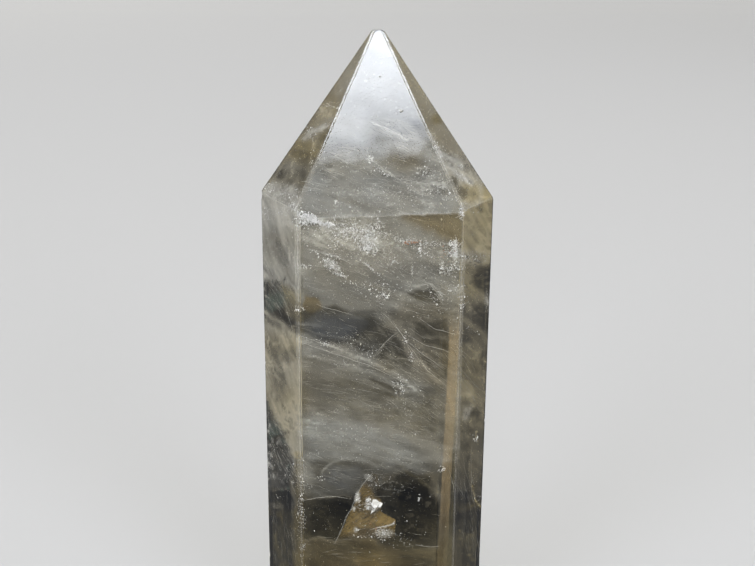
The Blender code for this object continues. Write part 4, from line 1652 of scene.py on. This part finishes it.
FRONT_FLAKES = (
    Swarm(-12.4, 85, 0.8, 0.9, 130, 0.09, 0.15, 0.5), Swarm(12.6, 84.7, 0.7, 0.9, 130, 0.09, 0.15, 0.5),
    Swarm(-12.4, 82.6, 0.5, 1.6, 40, 0.07, 0.15, 0.5), Swarm(-9.9, 84, 1.8, 0.7, 420, 0.12, 0.4, 1, -22),
    Swarm(-8.6, 83.4, 1.2, 0.35, 160, 0.1, 0.4, 1, -20), Swarm(-6.9, 82.95, 1, 0.35, 110, 0.1, 0.4, 1, -8),
    Swarm(-10.4, 83.2, 0.9, 0.4, 90, 0.09, 0.4, 1), Swarm(-3.4, 81.8, 5, 1.6, 1100, 0.07, 0.6, 1.6, -8),
    Swarm(-1.2, 80.4, 1.5, 1.6, 520, 0.1), Swarm(-1.2, 79.4, 0.9, 0.7, 200, 0.12),
    Swarm(-2, 82.2, 1.8, 0.4, 120, 0.08), Swarm(-5, 82.3, 2.2, 0.3, 100, 0.07),
    Swarm(-3, 80, 5, 1.6, 300, 0.06), Swarm(-10.3, 81.2, 1.6, 2, 90, 0.08),
    Swarm(0.2, 83.2, 0.8, 1.3, 50, 0.12), Swarm(-5, 79.6, 4, 2, 130, 0.07),
    Swarm(-6.6, 76.9, 1.7, 0.8, 260, 0.08, 0.6, 1.4, -35),
    Swarm(-5.4, 75.3, 1.3, 0.3, 90, 0.08, 0.6, 1.4, -20),
    Swarm(-7.2, 78.4, 2.6, 0.3, 110, 0.06, 0.6, 1.6, -12),
    Swarm(-0.8, 76.4, 1.9, 0.2, 110, 0.07, 0.6, 1.4, -42), Swarm(-11, 76.6, 1.4, 0.5, 80, 0.065),
    Swarm(1.6, 78, 2.6, 0.25, 80, 0.055, 0.6, 1.6, -25), Swarm(4.6, 80.5, 1.8, 0.5, 220, 0.07),
    Swarm(8.6, 80.2, 3.6, 0.5, 260, 0.06), Swarm(0.4, 81.4, 3, 0.6, 160, 0.055),
    Swarm(11.7, 79.2, 0.4, 1.5, 280, 0.1, 0.5, 1.2), Swarm(11.2, 80.3, 1, 0.4, 80, 0.09, 0.5, 1.2),
    Swarm(11, 79.2, 1.2, 1.4, 110, 0.07, 0.5, 1.2), Swarm(11.2, 76.2, 1.8, 0.9, 200, 0.07),
    Swarm(9.8, 76.8, 0.25, 1.2, 80, 0.07), Swarm(6.5, 79.3, 0.25, 1, 80, 0.07),
    Swarm(7.2, 78.8, 2.6, 0.3, 70, 0.06, 0.6, 1.6, -25), Swarm(5.4, 75.8, 0.3, 0.9, 40, 0.07),
    Swarm(2.4, 77.2, 0.3, 1, 40, 0.06, 0.6, 1.6, -50), Swarm(6, 82.9, 6, 1.6, 40, 0.05),
    Swarm(2.2, 78.6, 5, 2, 150, 0.05), Swarm(7.5, 77.8, 5, 2.5, 120, 0.05), Swarm(0.6, 73, 4, 1.6, 70, 0.09),
    Swarm(1.4, 71.9, 1, 0.6, 26, 0.12), Swarm(-3.3, 74, 2.4, 0.5, 22, 0.1),
    Swarm(8.6, 72.2, 0.9, 2, 26, 0.1, 0.8, 2, 30), Swarm(11.3, 73, 1.6, 1.2, 40, 0.09),
    Swarm(12.7, 70.4, 0.4, 0.4, 10, 0.13), Swarm(-11.3, 69.9, 0.9, 0.5, 16, 0.1),
    Swarm(-3.6, 64.4, 5.5, 1.8, 260, 0.045, 1, 4, -15), Swarm(-0.6, 63.2, 1.6, 1, 60, 0.055, 1, 3),
    Swarm(-7.8, 64.3, 1.2, 0.3, 40, 0.08, 0.6, 2, -20), Swarm(-4.8, 61.2, 1.4, 0.8, 34, 0.06),
    Swarm(5.4, 62.4, 0.6, 0.8, 24, 0.1), Swarm(4.6, 65.2, 0.5, 1.4, 26, 0.1),
    Swarm(8.4, 69.4, 3.6, 1.6, 40, 0.06), Swarm(3.8, 57.3, 0.8, 2, 60, 0.09),
    Swarm(5.6, 54.5, 3.4, 3, 60, 0.06), Swarm(-4, 60, 9, 5, 90, 0.04, 0.8, 6),
    Swarm(2, 52, 10, 7, 90, 0.045, 0.8, 6), Swarm(-5, 47, 8, 3, 40, 0.045), Swarm(-7, 73, 6, 4, 60, 0.042),
    Swarm(-11.5, 48.6, 0.5, 2.6, 20, 0.07), Swarm(-11.3, 39.8, 0.3, 3.4, 44, 0.065, 0.4, 1),
    Swarm(-10.6, 40.2, 0.8, 1.4, 26, 0.06), Swarm(-11.2, 34, 0.3, 1.8, 26, 0.075, 0.4, 1),
    Swarm(-11.3, 29.2, 0.3, 1.8, 26, 0.08, 0.4, 1), Swarm(-8.6, 41.6, 0.8, 0.5, 12, 0.1),
    Swarm(1.2, 41.6, 2.6, 1, 50, 0.04), Swarm(3.2, 39.6, 1.4, 1.4, 16, 0.035),
    Swarm(10.6, 43.4, 0.8, 0.7, 20, 0.1), Swarm(7.1, 38, 0.25, 0.7, 14, 0.1, 0.8, 1.4),
    Swarm(9, 38.8, 0.5, 0.6, 8, 0.07), Swarm(5.2, 34.1, 0.4, 0.4, 8, 0.09),
    Swarm(6.5, 40.4, 3.4, 3, 36, 0.04), Swarm(6.5, 32, 3, 3, 26, 0.05), Swarm(4.8, 29.8, 2.4, 1.6, 24, 0.08),
    Swarm(-8, 34.8, 4, 2.6, 40, 0.05), Swarm(2, 31.6, 1.6, 1.4, 50, 0.1),
    Swarm(-2.4, 32.6, 1.2, 0.5, 22, 0.09), Swarm(-1.6, 31.2, 2.6, 0.3, 26, 0.08),
    Swarm(1.2, 32, 1.8, 1, 130, 0.07, 0.5, 0.9), Swarm(2.9, 39.8, 1, 2.2, 18, 0.035, 0.6, 1.4),
    Swarm(-0.8, 37.4, 0.8, 1, 150, 0.07, 0.5, 0.9), Swarm(-2.6, 38.1, 0.35, 0.9, 110, 0.07, 0.5, 0.9, 15),
    Swarm(-1, 36.4, 0.7, 0.4, 60, 0.06, 0.5, 0.9), Swarm(-0.2, 41.2, 1.2, 2, 80, 0.045, 0.5, 0.9),
    Swarm(-0.8, 34.6, 4, 3, 60, 0.035, 0.5, 0.9), Swarm(0, 14, 14, 14, 200, 0.07, 0.8, 6),
)
TIP_FLAKES = (
    Swarm(0, 87.2, 12, 2, 620, 0.042, 0.4, 1.4), Swarm(7.8, 88.2, 3.6, 1.4, 200, 0.075),
    Swarm(6.9, 91, 1.6, 1, 90, 0.09), Swarm(9.4, 94, 1.2, 1.2, 46, 0.09),
    Swarm(1.2, 90.8, 2.2, 0.4, 60, 0.08, 0.5, 1.5, -30), Swarm(-1, 92.8, 0.6, 0.5, 14, 0.14),
    Swarm(-1.6, 94.4, 5, 1.4, 110, 0.045), Swarm(5.5, 98.8, 2.6, 1.6, 70, 0.045),
    Swarm(9, 90.2, 3, 3, 120, 0.065), Swarm(-6, 86.4, 0.4, 0.4, 8, 0.12), Swarm(-2, 90.5, 10, 4, 200, 0.036),
    # The last two swarms lie just under nicks in the point, so that the nicks show white: a painted glint
    Swarm(0.31, 104.78, 0.14, 0.14, 14, 0.09, 0.2, 0.35), Swarm(3.36, 100, 0.18, 0.18, 20, 0.1, 0.2, 0.35),
)
LEFT_FLAKES = (
    Swarm(-16.3, 84.4, 0.8, 1, 70, 0.08, 0.3, 0.8), Swarm(-13.6, 85, 2.6, 0.9, 190, 0.08, 0.3, 0.8),
    Swarm(-12, 83.4, 0.8, 1.6, 130, 0.08, 0.3, 0.8), Swarm(-12.8, 76.5, 2.8, 0.4, 90, 0.07),
    Swarm(-16.9, 72, 0.2, 3, 40, 0.07, 0.2, 0.6), Swarm(-16.8, 45, 0.3, 3.4, 80, 0.09, 0.2, 0.7),
    Swarm(-12, 37, 0.5, 9, 150, 0.075, 0.3, 0.8), Swarm(-12, 35.2, 0.5, 0.4, 16, 0.12, 0.3, 0.8),
    Swarm(-16.6, 45.5, 0.5, 4, 40, 0.1), Swarm(-14.8, 43.5, 2.4, 5, 160, 0.07),
    Swarm(-13.2, 41, 0.8, 0.8, 20, 0.1), Swarm(-15.4, 38.2, 0.5, 0.5, 10, 0.12),
    Swarm(-15, 83, 4, 6, 110, 0.055), Swarm(-14.5, 70, 3, 6, 60, 0.05), Swarm(-14, 58, 3, 7, 40, 0.05),
)
RIGHT_FLAKES = (
    Swarm(14.2, 78.2, 3.4, 0.8, 260, 0.08, 0.3, 0.9), Swarm(16.8, 70.8, 0.4, 2, 70, 0.09, 0.2, 0.7),
    Swarm(13.6, 85.4, 2, 0.8, 80, 0.06, 0.3, 0.8), Swarm(15.8, 48.6, 0.3, 0.5, 20, 0.11, 0.3, 0.8),
    Swarm(16.4, 37.8, 0.8, 1.4, 70, 0.07, 0.3, 0.8), Swarm(13.2, 71.6, 0.6, 2, 60, 0.08, 0.3, 0.8),
    Swarm(15.5, 48.5, 0.3, 0.5, 12, 0.13), Swarm(14.8, 78, 2.6, 1.2, 70, 0.09),
    Swarm(15.3, 41, 0.5, 2.2, 40, 0.09), Swarm(15.4, 82, 3, 5, 60, 0.05), Swarm(15, 61, 3, 7, 60, 0.05),
    Swarm(14.6, 66.6, 1.6, 0.4, 24, 0.08, 0.4, 1, -30),
)
LEFT_TIP_FLAKES = (
    Swarm(-6.6, 100.6, 0.5, 1.2, 30, 0.11, 0.3, 0.8, 60), Swarm(-9.5, 96.9, 0.8, 0.6, 60, 0.11, 0.3, 0.8),
    Swarm(-7.4, 97.5, 1.3, 0.4, 44, 0.09, 0.3, 0.8, 15), Swarm(-9.2, 94.6, 0.6, 1.8, 34, 0.08, 0.3, 0.8),
    Swarm(-9.5, 92.2, 0.4, 0.9, 30, 0.08, 0.3, 0.8), Swarm(-15.4, 88.4, 0.8, 1, 60, 0.09, 0.3, 0.8),
    Swarm(-13, 87.6, 2, 1.2, 110, 0.08, 0.3, 0.8), Swarm(-12.3, 86, 0.9, 0.9, 80, 0.09, 0.3, 0.8),
    Swarm(-11, 92, 4, 5, 60, 0.05, 0.3, 0.8),
)
RIGHT_TIP_FLAKES = (
    Swarm(8.5, 94.5, 0.8, 0.9, 70, 0.08, 0.3, 0.8), Swarm(12.1, 92, 0.5, 0.4, 26, 0.1, 0.3, 0.8),
    Swarm(11.7, 90.8, 1.8, 0.4, 70, 0.08, 0.3, 0.8, -37), Swarm(9.6, 93.2, 1.4, 0.9, 60, 0.06, 0.3, 0.8, -40),
    Swarm(12.8, 85.8, 0.5, 0.9, 60, 0.08, 0.3, 0.8), Swarm(13.5, 88.5, 3, 2.4, 60, 0.05, 0.3, 0.8),
)
AMBER_FLAKES = (
    Swarm(5.3, 80.4, 1.6, 0.3, 26, 0.15, 0.4, 0.8), Swarm(10.6, 78.8, 1.2, 1, 20, 0.12, 0.4, 0.8),
    Swarm(-1, 33.8, 3, 1.2, 30, 0.1, 1, 2),
)
DEEP_FLAKES = (
    Swarm(0, 80, 16, 6, 300, 0.08, 13, 19.5), Swarm(2, 60, 14, 18, 200, 0.07, 13, 19.5),
    Swarm(-2, 30, 14, 22, 200, 0.07, 13, 19.5),
)


def sparks(crystal: Crystal) -> list[Sparks]:
    """List the scatters of sparkling flakes."""
    left, front, right = crystal.seen()
    left_tip, tip, right_tip = crystal.seen(TIP_TILT)
    return [
        Sparks("front_sparks", front, FRONT_FLAKES, WHITE_SPARK, 71),
        Sparks("tip_sparks", tip, TIP_FLAKES, WHITE_SPARK, 72),
        Sparks("left_sparks", left, LEFT_FLAKES, WHITE_SPARK, 73),
        Sparks("right_sparks", right, RIGHT_FLAKES, WHITE_SPARK, 74),
        Sparks("left_tip_sparks", left_tip, LEFT_TIP_FLAKES, WHITE_SPARK, 77),
        Sparks("right_tip_sparks", right_tip, RIGHT_TIP_FLAKES, WHITE_SPARK, 78),
        Sparks("amber_sparks", front, AMBER_FLAKES, AMBER_SPARK, 75),
        Sparks("deep_sparks", front, DEEP_FLAKES, WHITE_SPARK, 76),
    ]


# ------------------------------------------------------------------ crack lines, fibres and splinters

FRONT_LINES = (
    Thread(((2.4, 68.2), (4.2, 65.6), (5.6, 62.6), (6.6, 61)), 0.045),
    Thread(((-11.2, 65.4), (-8, 64.2), (-5, 63.2)), 0.06),
    Thread(((1.4, 69), (3.6, 66.4), (5.4, 63.6), (8, 60), (10.8, 57.6)), 0.035),
    Thread(((0.2, 62.9), (2, 65.2), (3.9, 66.8)), 0.03),
    Thread(((4.2, 66.3), (7.4, 64.2), (11.3, 63.1)), 0.035),
    Thread(((5, 64.6), (7.4, 62.6), (10.6, 60.2)), 0.035),
    Thread(((6.2, 68.8), (9, 66.8), (12.4, 65.8)), 0.035),
    Thread(((-12, 64.6), (-6, 62.6), (0, 60.4), (4, 58.2)), 0.035),
    Thread(((-11.5, 37.5), (-9, 38.1), (-6, 38.4), (-3.6, 38)), 0.035),
    Thread(((5.8, 73.4), (8, 74), (9.4, 72.2), (9.8, 70.8)), 0.05),
    Thread(((-9, 70.6), (-6.6, 69.8), (-3.4, 68.9)), 0.03),
    Thread(((6.6, 29.8), (9, 29.5), (10.6, 29.6)), 0.03), Thread(BREAK_RIM, 0.04, 0.7, 0.9),
    Thread(((-0.7, 32.45), (0.8, 32.95), (2.2, 33.2), (3.3, 33.6)), 0.05, 0.75, 0.85),
    Thread(((3.35, 33.9), (3.4, 32), (3.3, 30.9)), 0.05, 0.75, 0.85),
    Thread(((-3, 32.8), (-2.7, 32.3), (-2.7, 31.7)), 0.04, 0.75, 0.85),
    Thread(((1.1, 31.1), (1.5, 31.9), (1.9, 32.5)), 0.04, 0.75, 0.85),
    Thread(((-9, 79), (-6, 78.2), (-3.4, 76.8)), 0.05), Thread(((0.8, 82), (2.6, 81.4)), 0.05),
)
FRONT_FIBRES = (
    Comb(-5, 59.5, 14, 9, -14, 90), Comb(7, 56, 8, 12, -42, 90), Comb(-2, 50, 20, 9, -11, 80),
    Comb(4, 63.5, 14, 8, -36, 60, 4, 14), Comb(0, 74, 22, 7, -16, 110), Comb(0, 80, 22, 7, -24, 100, 2),
    Comb(-6, 66.5, 10, 5, -30, 30, 2, 20, 0.018, 1.5, 7), Comb(-1, 41.5, 18, 6, -8, 50, 3, 12),
    Comb(6.5, 34, 6, 8, -30, 8, 1.4, 20, 0.014), Comb(-8, 29, 8, 5, -6, 8, 3), Comb(2, 28, 12, 4, 3, 8, 3),
    Comb(0, 12, 22, 20, -14, 160, 4, 20),
)
FRONT_CRACKS = (
    Comb(-1.4, 80.9, 4.2, 2.6, 62, 80, 0.8, 60, 0.024, 0.5, 1.4),
    Comb(-5.6, 82, 4, 1.4, 50, 50, 0.7, 60, 0.022, 0.5, 1.4),
    Comb(-10, 84, 2.6, 1, -20, 50, 0.7, 50, 0.026, 0.4, 1),
    Comb(-6.4, 76.4, 2.6, 1.4, -38, 40, 0.8, 40, 0.024, 0.6, 1.4),
    Comb(11.6, 78.8, 1.2, 3, 84, 50, 0.8, 30, 0.026, 0.5, 1.2),
    Comb(0.3, 83, 0.9, 1.6, 80, 16, 0.9, 30, 0.024, 0.5, 1.2),
    Comb(5.6, 80.3, 5.6, 1, -12, 50, 0.8, 40, 0.02, 0.5, 1.4),
    Comb(10.4, 76, 2.4, 1, -10, 26, 0.8, 50, 0.022, 0.6, 1.4),
    Comb(1.2, 72, 2.6, 1.6, 40, 26, 0.8, 60, 0.024, 0.8, 1.8),
    Comb(2, 77.4, 6, 3, -50, 50, 1.1, 30, 0.018, 0.6, 1.8),
    Comb(4.8, 76.6, 0.7, 2.6, 86, 14, 1, 20, 0.022, 0.6, 1.4),
    Comb(9, 72, 1.2, 2.4, -62, 22, 1, 24, 0.024, 0.6, 1.6),
    Comb(3.9, 57.6, 0.8, 2.6, 70, 14, 0.8, 50, 0.022, 0.8, 2),
    Comb(-1.6, 36.8, 2.4, 1.6, 40, 24, 0.6, 60, 0.02, 0.55, 0.9),
)
TIP_LINES = (
    Thread(((-1.6, 93.4), (0.6, 91.7), (2.8, 90)), 0.05, 0.8, 1.6),
    Thread(((2.8, 90), (6.2, 89.4), (10.6, 89.2)), 0.05, 0.8, 1.6),
    Thread(((-0.5, 98), (1.8, 97.2), (4.2, 95.9)), 0.09, 0.5, 1.2),
    Thread(((8, 93.2), (11.4, 91.6)), 0.06, 0.6, 1.4),
)
TIP_FIBRES = (
    Comb(-1, 90, 18, 8, -15, 150, 2.6, 9, 0.02, 0.4, 2.5), Comb(4, 95, 9, 6, -22, 50, 2.6, 9, 0.02, 0.4, 2),
)
LEFT_LINES = (
    Thread(((-17, 68.2), (-14.6, 66.4), (-12.3, 64.4)), 0.06, 0.4, 0.9),
    Thread(((-13.6, 70.4), (-12.9, 67.6), (-12.2, 64.8)), 0.04, 0.4, 0.9),
    Thread(((-16.6, 50), (-15, 45.2), (-13.2, 40.8), (-12.3, 38.4)), 0.04, 0.4, 0.9),
)
LEFT_FIBRES = (
    Comb(-14.8, 72, 8, 3.5, -66, 70, 3, 6, 0.02, 0.3, 1.6),
    Comb(-14.6, 47, 12, 3.5, -68, 110, 3, 8, 0.02, 0.3, 1.6),
    Comb(-14.6, 32, 14, 4, -86, 60, 4, 4, 0.02, 0.3, 1.6),
    Comb(-14.6, 82, 8, 4, -88, 60, 3, 4, 0.018, 0.3, 1.6),
)
RIGHT_LINES = (
    Thread(((12.9, 69), (15, 67.4), (17.2, 65.9)), 0.055, 0.3, 0.8),
    Thread(((13.4, 67.6), (15.4, 65.2), (17.2, 62.4)), 0.05, 0.3, 0.8),
    Thread(((15.1, 47.4), (15.2, 42.4), (15.5, 38.6), (16, 36.6)), 0.07, 0.3, 0.8),
    Thread(((13.2, 66), (15, 64), (17, 60)), 0.04, 0.3, 0.8),
)
RIGHT_FIBRES = (
    Comb(15, 58, 12, 3.5, -56, 60, 3, 8, 0.02, 0.3, 1.4),
    Comb(14.8, 36, 18, 3, -80, 60, 4, 8, 0.02, 0.3, 1.4),
    Comb(15, 82, 8, 3.5, -70, 40, 3, 6, 0.018, 0.3, 1.4),
)
# White splinters in the break and two beside it: a painted glint, in a finish that also catches the lamps
GLINT_SPLINTERS = (
    Facet(((-0.5, 37), (-0.2, 37.9), (0.3, 37.9), (0.9, 37.4), (0.4, 36.5), (-0.1, 36.3)), 0.8, 0.5, 0.3),
    Facet(((0.9, 37.5), (1.35, 37.2), (1, 36.5), (0.5, 36.5)), 0.8, 0.2, -0.4),
    Facet(((0.3, 36.4), (0, 35.8), (-0.6, 35.3), (-0.3, 36.1)), 0.8, 0.2, 0.5),
    Facet(((-1, 38.2), (-0.7, 38), (-0.9, 37.5), (-1.2, 37.8)), 0.8),
    Facet(((-1.3, 36.4), (-0.8, 36.5), (-0.9, 36)), 0.8),
    Facet(((0.6, 32.95), (1.9, 33.25), (1.9, 33.1)), 0.8),
    Facet(((2.5, 33.4), (3.2, 33.6), (3.3, 34.2), (3, 33.7)), 0.8),
    Facet(((-3, 32.3), (-2.8, 32.7), (-2.6, 32.3)), 0.8),
    Facet(((1.4, 31.6), (1.6, 32.2), (1.75, 31.8)), 0.8),
    Facet(((6.95, 37.6), (7, 38.4), (7.2, 38.2), (7.15, 37.6)), 1.2),
    Facet(((5.05, 34), (5.2, 34.3), (5.3, 34.1)), 1.2),
)


def threads(crystal: Crystal) -> list[Threads]:
    """List the crack lines and the combed fibres."""
    left, front, right = crystal.seen()
    tip = crystal.facing(0, TIP_TILT)
    return [
        Threads("front_lines", front, FRONT_LINES, (), THREAD_FINISH, 81),
        Threads("front_fibres", front, (), FRONT_FIBRES, FIBRE_FINISH, 82),
        Threads("front_cracks", front, (), FRONT_CRACKS, CRACK_FINISH, 86, step=0.25),
        Threads("tip_threads", tip, TIP_LINES, TIP_FIBRES, FIBRE_FINISH, 83),
        Threads("left_threads", left, LEFT_LINES, LEFT_FIBRES, FIBRE_FINISH, 84),
        Threads("right_threads", right, RIGHT_LINES, RIGHT_FIBRES, FIBRE_FINISH, 85),
    ]


# ------------------------------------------------------------------ the studio


def looking(way: Vector) -> Matrix:
    """Give the turn that makes a lamp or a camera look along a direction."""
    return way.to_track_quat("-Z", "Y").to_matrix().to_4x4()


@dataclass(frozen=True)
class Lamp:
    """A softbox aimed at the point: its place round it, its size in metres and its brightness."""

    name: str
    azimuth: float
    elevation: float
    distance: float
    wide: float
    high: float
    radiance: float
    soft_foot: float = 0.0  # share of the height over which its lower edge fades in
    lower_side: float = 0.0  # how much lower that edge is on one side
    soft_rim: float = 0.0  # share of the half width over which its light fades to the sides
    colour: tuple[float, float, float] = (1.0, 1.0, 1.0)
    seen_through: bool = True  # whether its own image shows through the clear crystal

    foot_start = 0.165  # where its lower edge starts to fade in
    foot_waves = 0.25  # how uneven that edge is

    def build(self, aim: Vector) -> bpy.types.Object:
        """Set the lamp up.

        Args:
            aim: what it points at.

        Returns:
            The lamp.
        """
        turn, lift = math.radians(self.azimuth), math.radians(self.elevation)
        way = Vector((math.sin(turn) * math.cos(lift), -math.cos(turn) * math.cos(lift), math.sin(lift)))
        data = bpy.data.lights.new(self.name, "AREA")
        data.shape = "RECTANGLE"
        data.size, data.size_y = self.wide, self.high
        data.energy = math.pi * self.wide * self.high * self.radiance
        data.color = self.colour
        if self.soft_foot:
            self._fade(data)
        if self.soft_rim:
            self._round_off(data)
        lamp = bpy.data.objects.new(self.name, data)
        lamp.matrix_world = Matrix.Translation(aim + way * self.distance) @ looking(-way)
        lamp.visible_transmission = self.seen_through
        bpy.context.scene.collection.objects.link(lamp)
        return lamp

    @staticmethod
    def _over(data: bpy.types.Light) -> tuple[Graph, bpy.types.NodeSocket, bpy.types.bpy_prop_collection]:
        """Start a lamp's graph, and give the places over its face, together and one by one."""
        data.use_nodes = True
        graph = Graph(data.node_tree)
        across = graph.add("ShaderNodeNewGeometry").outputs["Parametric"]
        return graph, across, graph.add("ShaderNodeSeparateXYZ", {0: across}).outputs

    def _fade(self, data: bpy.types.Light) -> None:
        """Let the lamp's lower edge fade in, a little unevenly."""
        graph, across, place = self._over(data)
        uneven = graph.add("ShaderNodeTexNoise", {"Vector": across, "Scale": 7.0, "Detail": 4.0}).outputs[0]
        slanted = graph.math("SUBTRACT", place["Y"], graph.math("MULTIPLY", place["X"], self.lower_side))
        lifted = graph.math("ADD", slanted, graph.math("MULTIPLY", uneven, self.foot_waves))
        reach = {"Value": lifted, "From Min": self.foot_start, "From Max": self.foot_start + self.soft_foot}
        rise = graph.add("ShaderNodeMapRange", reach, clamp=True)
        strength = graph.math("POWER", rise.outputs[0], 0.7)
        graph.link(strength, data.node_tree.nodes["Emission"].inputs["Strength"])

    def _round_off(self, data: bpy.types.Light) -> None:
        """Let the lamp's light fade out towards all of its edges."""
        graph, _, place = self._over(data)
        sideways = graph.math("ABSOLUTE", graph.math("SUBTRACT", place["X"], 0.5))
        upwards = graph.math("ABSOLUTE", graph.math("SUBTRACT", place["Y"], 0.5))
        squares = graph.math("ADD", graph.math("POWER", sideways, 2.0), graph.math("POWER", upwards, 2.0))
        off_middle = graph.math("POWER", squares, 0.5)
        reach = {"Value": off_middle, "From Min": 0.5, "From Max": 0.5 - 0.5 * self.soft_rim}
        rise = graph.add("ShaderNodeMapRange", reach, clamp=True, interpolation_type="SMOOTHSTEP")
        graph.link(rise.outputs[0], data.node_tree.nodes["Emission"].inputs["Strength"])


LAMPS = (
    Lamp(
        "front_softbox", 0, 36.0, 1.4, 0.42, 0.36, 19.8, soft_foot=0.40, lower_side=0.22,
        colour=(0.93, 0.98, 1.07),
    ),
    Lamp("left_fill", -38, 18, 2.6, 1.5, 1.4, 11.2, soft_rim=0.4, seen_through=False),
    Lamp("right_fill", 34, 18, 2.6, 1.5, 1.4, 11.2, soft_rim=0.4, seen_through=False),
    Lamp("back_fill", 205, 22, 2.6, 1.5, 1.4, 7.0, soft_rim=0.4, seen_through=False),
    Lamp("top_softbox", 150, 72, 1.6, 0.9, 0.9, 3.0),
)


@dataclass
class Studio:
    """The camera, the floor, the lamps and the soft surroundings."""

    elevation: float = 18.131
    distance: float = 179.52 * MM
    roll: float = 0.455
    aim: tuple[float, float, float] = (0.23 * MM, -10.75 * MM, 74.04 * MM)
    focal_pixels: float = 1202.5
    floor_size: float = 8.0
    floor_full: float = 0.6  # how far out the floor is solid
    floor_end: float = 2.0  # where it has faded into the backdrop
    tip: tuple[float, float, float] = (0.0, -1.0 * MM, 105.0 * MM)
    floor_colour: Colour = (0.60, 0.597, 0.585, 1.0)
    backdrop: Colour = (0.62, 0.615, 0.60, 1.0)
    # The surroundings that the crystal mirrors, and those that show through it, below and above
    mirrored: tuple[Colour, Colour] = ((0.12, 0.125, 0.14, 1.0), (0.32, 0.32, 0.33, 1.0))
    refracted: tuple[Colour, Colour] = ((0.010, 0.011, 0.014, 1.0), (0.09, 0.09, 0.09, 1.0))

    @property
    def eye(self) -> Vector:
        """The camera's place."""
        return Vector(self.aim) + self._back * self.distance

    @property
    def _back(self) -> Vector:
        """The way from the aim to the camera."""
        lift = math.radians(self.elevation)
        return Vector((0.0, -math.cos(lift), math.sin(lift)))

    def place_camera(self) -> bpy.types.Object:
        """Set the camera before the wide face, a little above it."""
        data = bpy.data.cameras.new("camera")
        data.sensor_width = SENSOR_WIDTH
        data.lens = self.focal_pixels / PICTURE_WIDTH * SENSOR_WIDTH
        data.clip_start = 0.01
        data.clip_end = 50.0
        camera = bpy.data.objects.new("camera", data)
        turned = looking(-self._back) @ Matrix.Rotation(math.radians(self.roll), 4, "Z")
        camera.matrix_world = Matrix.Translation(self.eye) @ turned
        bpy.context.scene.collection.objects.link(camera)
        bpy.context.scene.camera = camera
        return camera

    def lay_floor(self) -> bpy.types.Object:
        """Lay the plain pale floor. It isn't looked at through the crystal, whose inside stays dark."""
        half = self.floor_size / 2.0
        corners = [(-half, -half, 0.0), (half, -half, 0.0), (half, half, 0.0), (-half, half, 0.0)]
        mesh = bpy.data.meshes.new("floor")
        mesh.from_pydata(corners, [], [(0, 1, 2, 3)])
        material, graph, shader = new_material("pale_floor")
        shader.inputs["Base Color"].default_value = self.floor_colour
        shader.inputs["Roughness"].default_value = 0.9
        shader.inputs["Specular IOR Level"].default_value = 0.0
        place = graph.add("ShaderNodeTexCoord").outputs["Object"]
        off_middle = graph.add("ShaderNodeVectorMath", {0: place}, operation="LENGTH").outputs["Value"]
        reach = {"Value": off_middle, "From Min": self.floor_end, "From Max": self.floor_full}
        fade = graph.add("ShaderNodeMapRange", reach, clamp=True, interpolation_type="SMOOTHSTEP")
        graph.link(fade.outputs[0], shader.inputs["Alpha"])
        mesh.materials.append(material)
        floor = bpy.data.objects.new("floor", mesh)
        bpy.context.scene.collection.objects.link(floor)
        floor.visible_transmission = False
        floor.visible_glossy = False
        return floor

    def surround(self) -> None:
        """Give the camera a pale backdrop, and the crystal dark surroundings, softer above than below."""
        world = bpy.data.worlds.new("studio")
        bpy.context.scene.world = world
        world.use_nodes = True
        world.node_tree.nodes.clear()
        graph = Graph(world.node_tree)
        way = graph.add("ShaderNodeTexCoord").outputs["Generated"]
        height = graph.add("ShaderNodeSeparateXYZ", {0: way}).outputs["Z"]
        rise = graph.add("ShaderNodeMapRange", {"Value": height, "From Max": 0.9}, clamp=True)
        paths = graph.add("ShaderNodeLightPath").outputs
        inside = paths["Is Transmission Ray"]
        below, above = (graph.blend(inside, *pair) for pair in zip(self.mirrored, self.refracted))
        soft = graph.blend(rise.outputs[0], below, above)
        pale = graph.add("ShaderNodeBackground", {"Color": self.backdrop})
        dim = graph.add("ShaderNodeBackground", {"Color": soft})
        shown = {0: paths["Is Camera Ray"], 1: dim.outputs[0], 2: pale.outputs[0]}
        mixed = graph.add("ShaderNodeMixShader", shown)
        out = graph.add("ShaderNodeOutputWorld")
        graph.link(mixed.outputs[0], out.inputs["Surface"])

    def build(self) -> None:
        """Set everything up."""
        self.place_camera()
        self.lay_floor()
        for lamp in LAMPS:
            lamp.build(Vector(self.tip))
        self.surround()
        scene = bpy.context.scene
        scene.view_settings.view_transform = "Standard"
        scene.cycles.max_bounces = 24
        scene.cycles.transmission_bounces = 24
        scene.cycles.glossy_bounces = 12
        scene.cycles.transparent_max_bounces = 64
        scene.cycles.caustics_reflective = False
        scene.cycles.caustics_refractive = False


def main() -> None:
    """Dress the crystal, fill it and light it."""
    logging.basicConfig(level=logging.INFO, format="%(name)s %(message)s", stream=sys.stdout)
    studio = Studio()
    studio.build()
    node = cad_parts[NODE]
    node.data.materials.clear()
    node.data.materials.append(ClearQuartz().build())
    node.data.materials.append(ClearQuartz("ground_base", roughness=0.5).build())
    for face in node.data.polygons:
        face.material_index = int(face.normal.z < DOWNWARD)
    crystal = Crystal(node)
    log.info("%d flat faces", len(crystal.planes))
    sight = Sight(np.array(studio.eye), crystal.facing(0))
    groups = {"strands": strands_group(), "dust": dust_group()}
    for veil in veils(crystal):
        veil.build(crystal, sight, groups)
    for scatter in sparks(crystal):
        scatter.build(crystal, sight)
    for bundle in threads(crystal):
        bundle.build(crystal, sight)
    Facets("painted_glint_splinters", crystal.facing(0), GLINT_SPLINTERS, WHITE_SPARK).build(sight)
    WornEdges().build(crystal, groups)


if __name__ == "__main__":
    main()
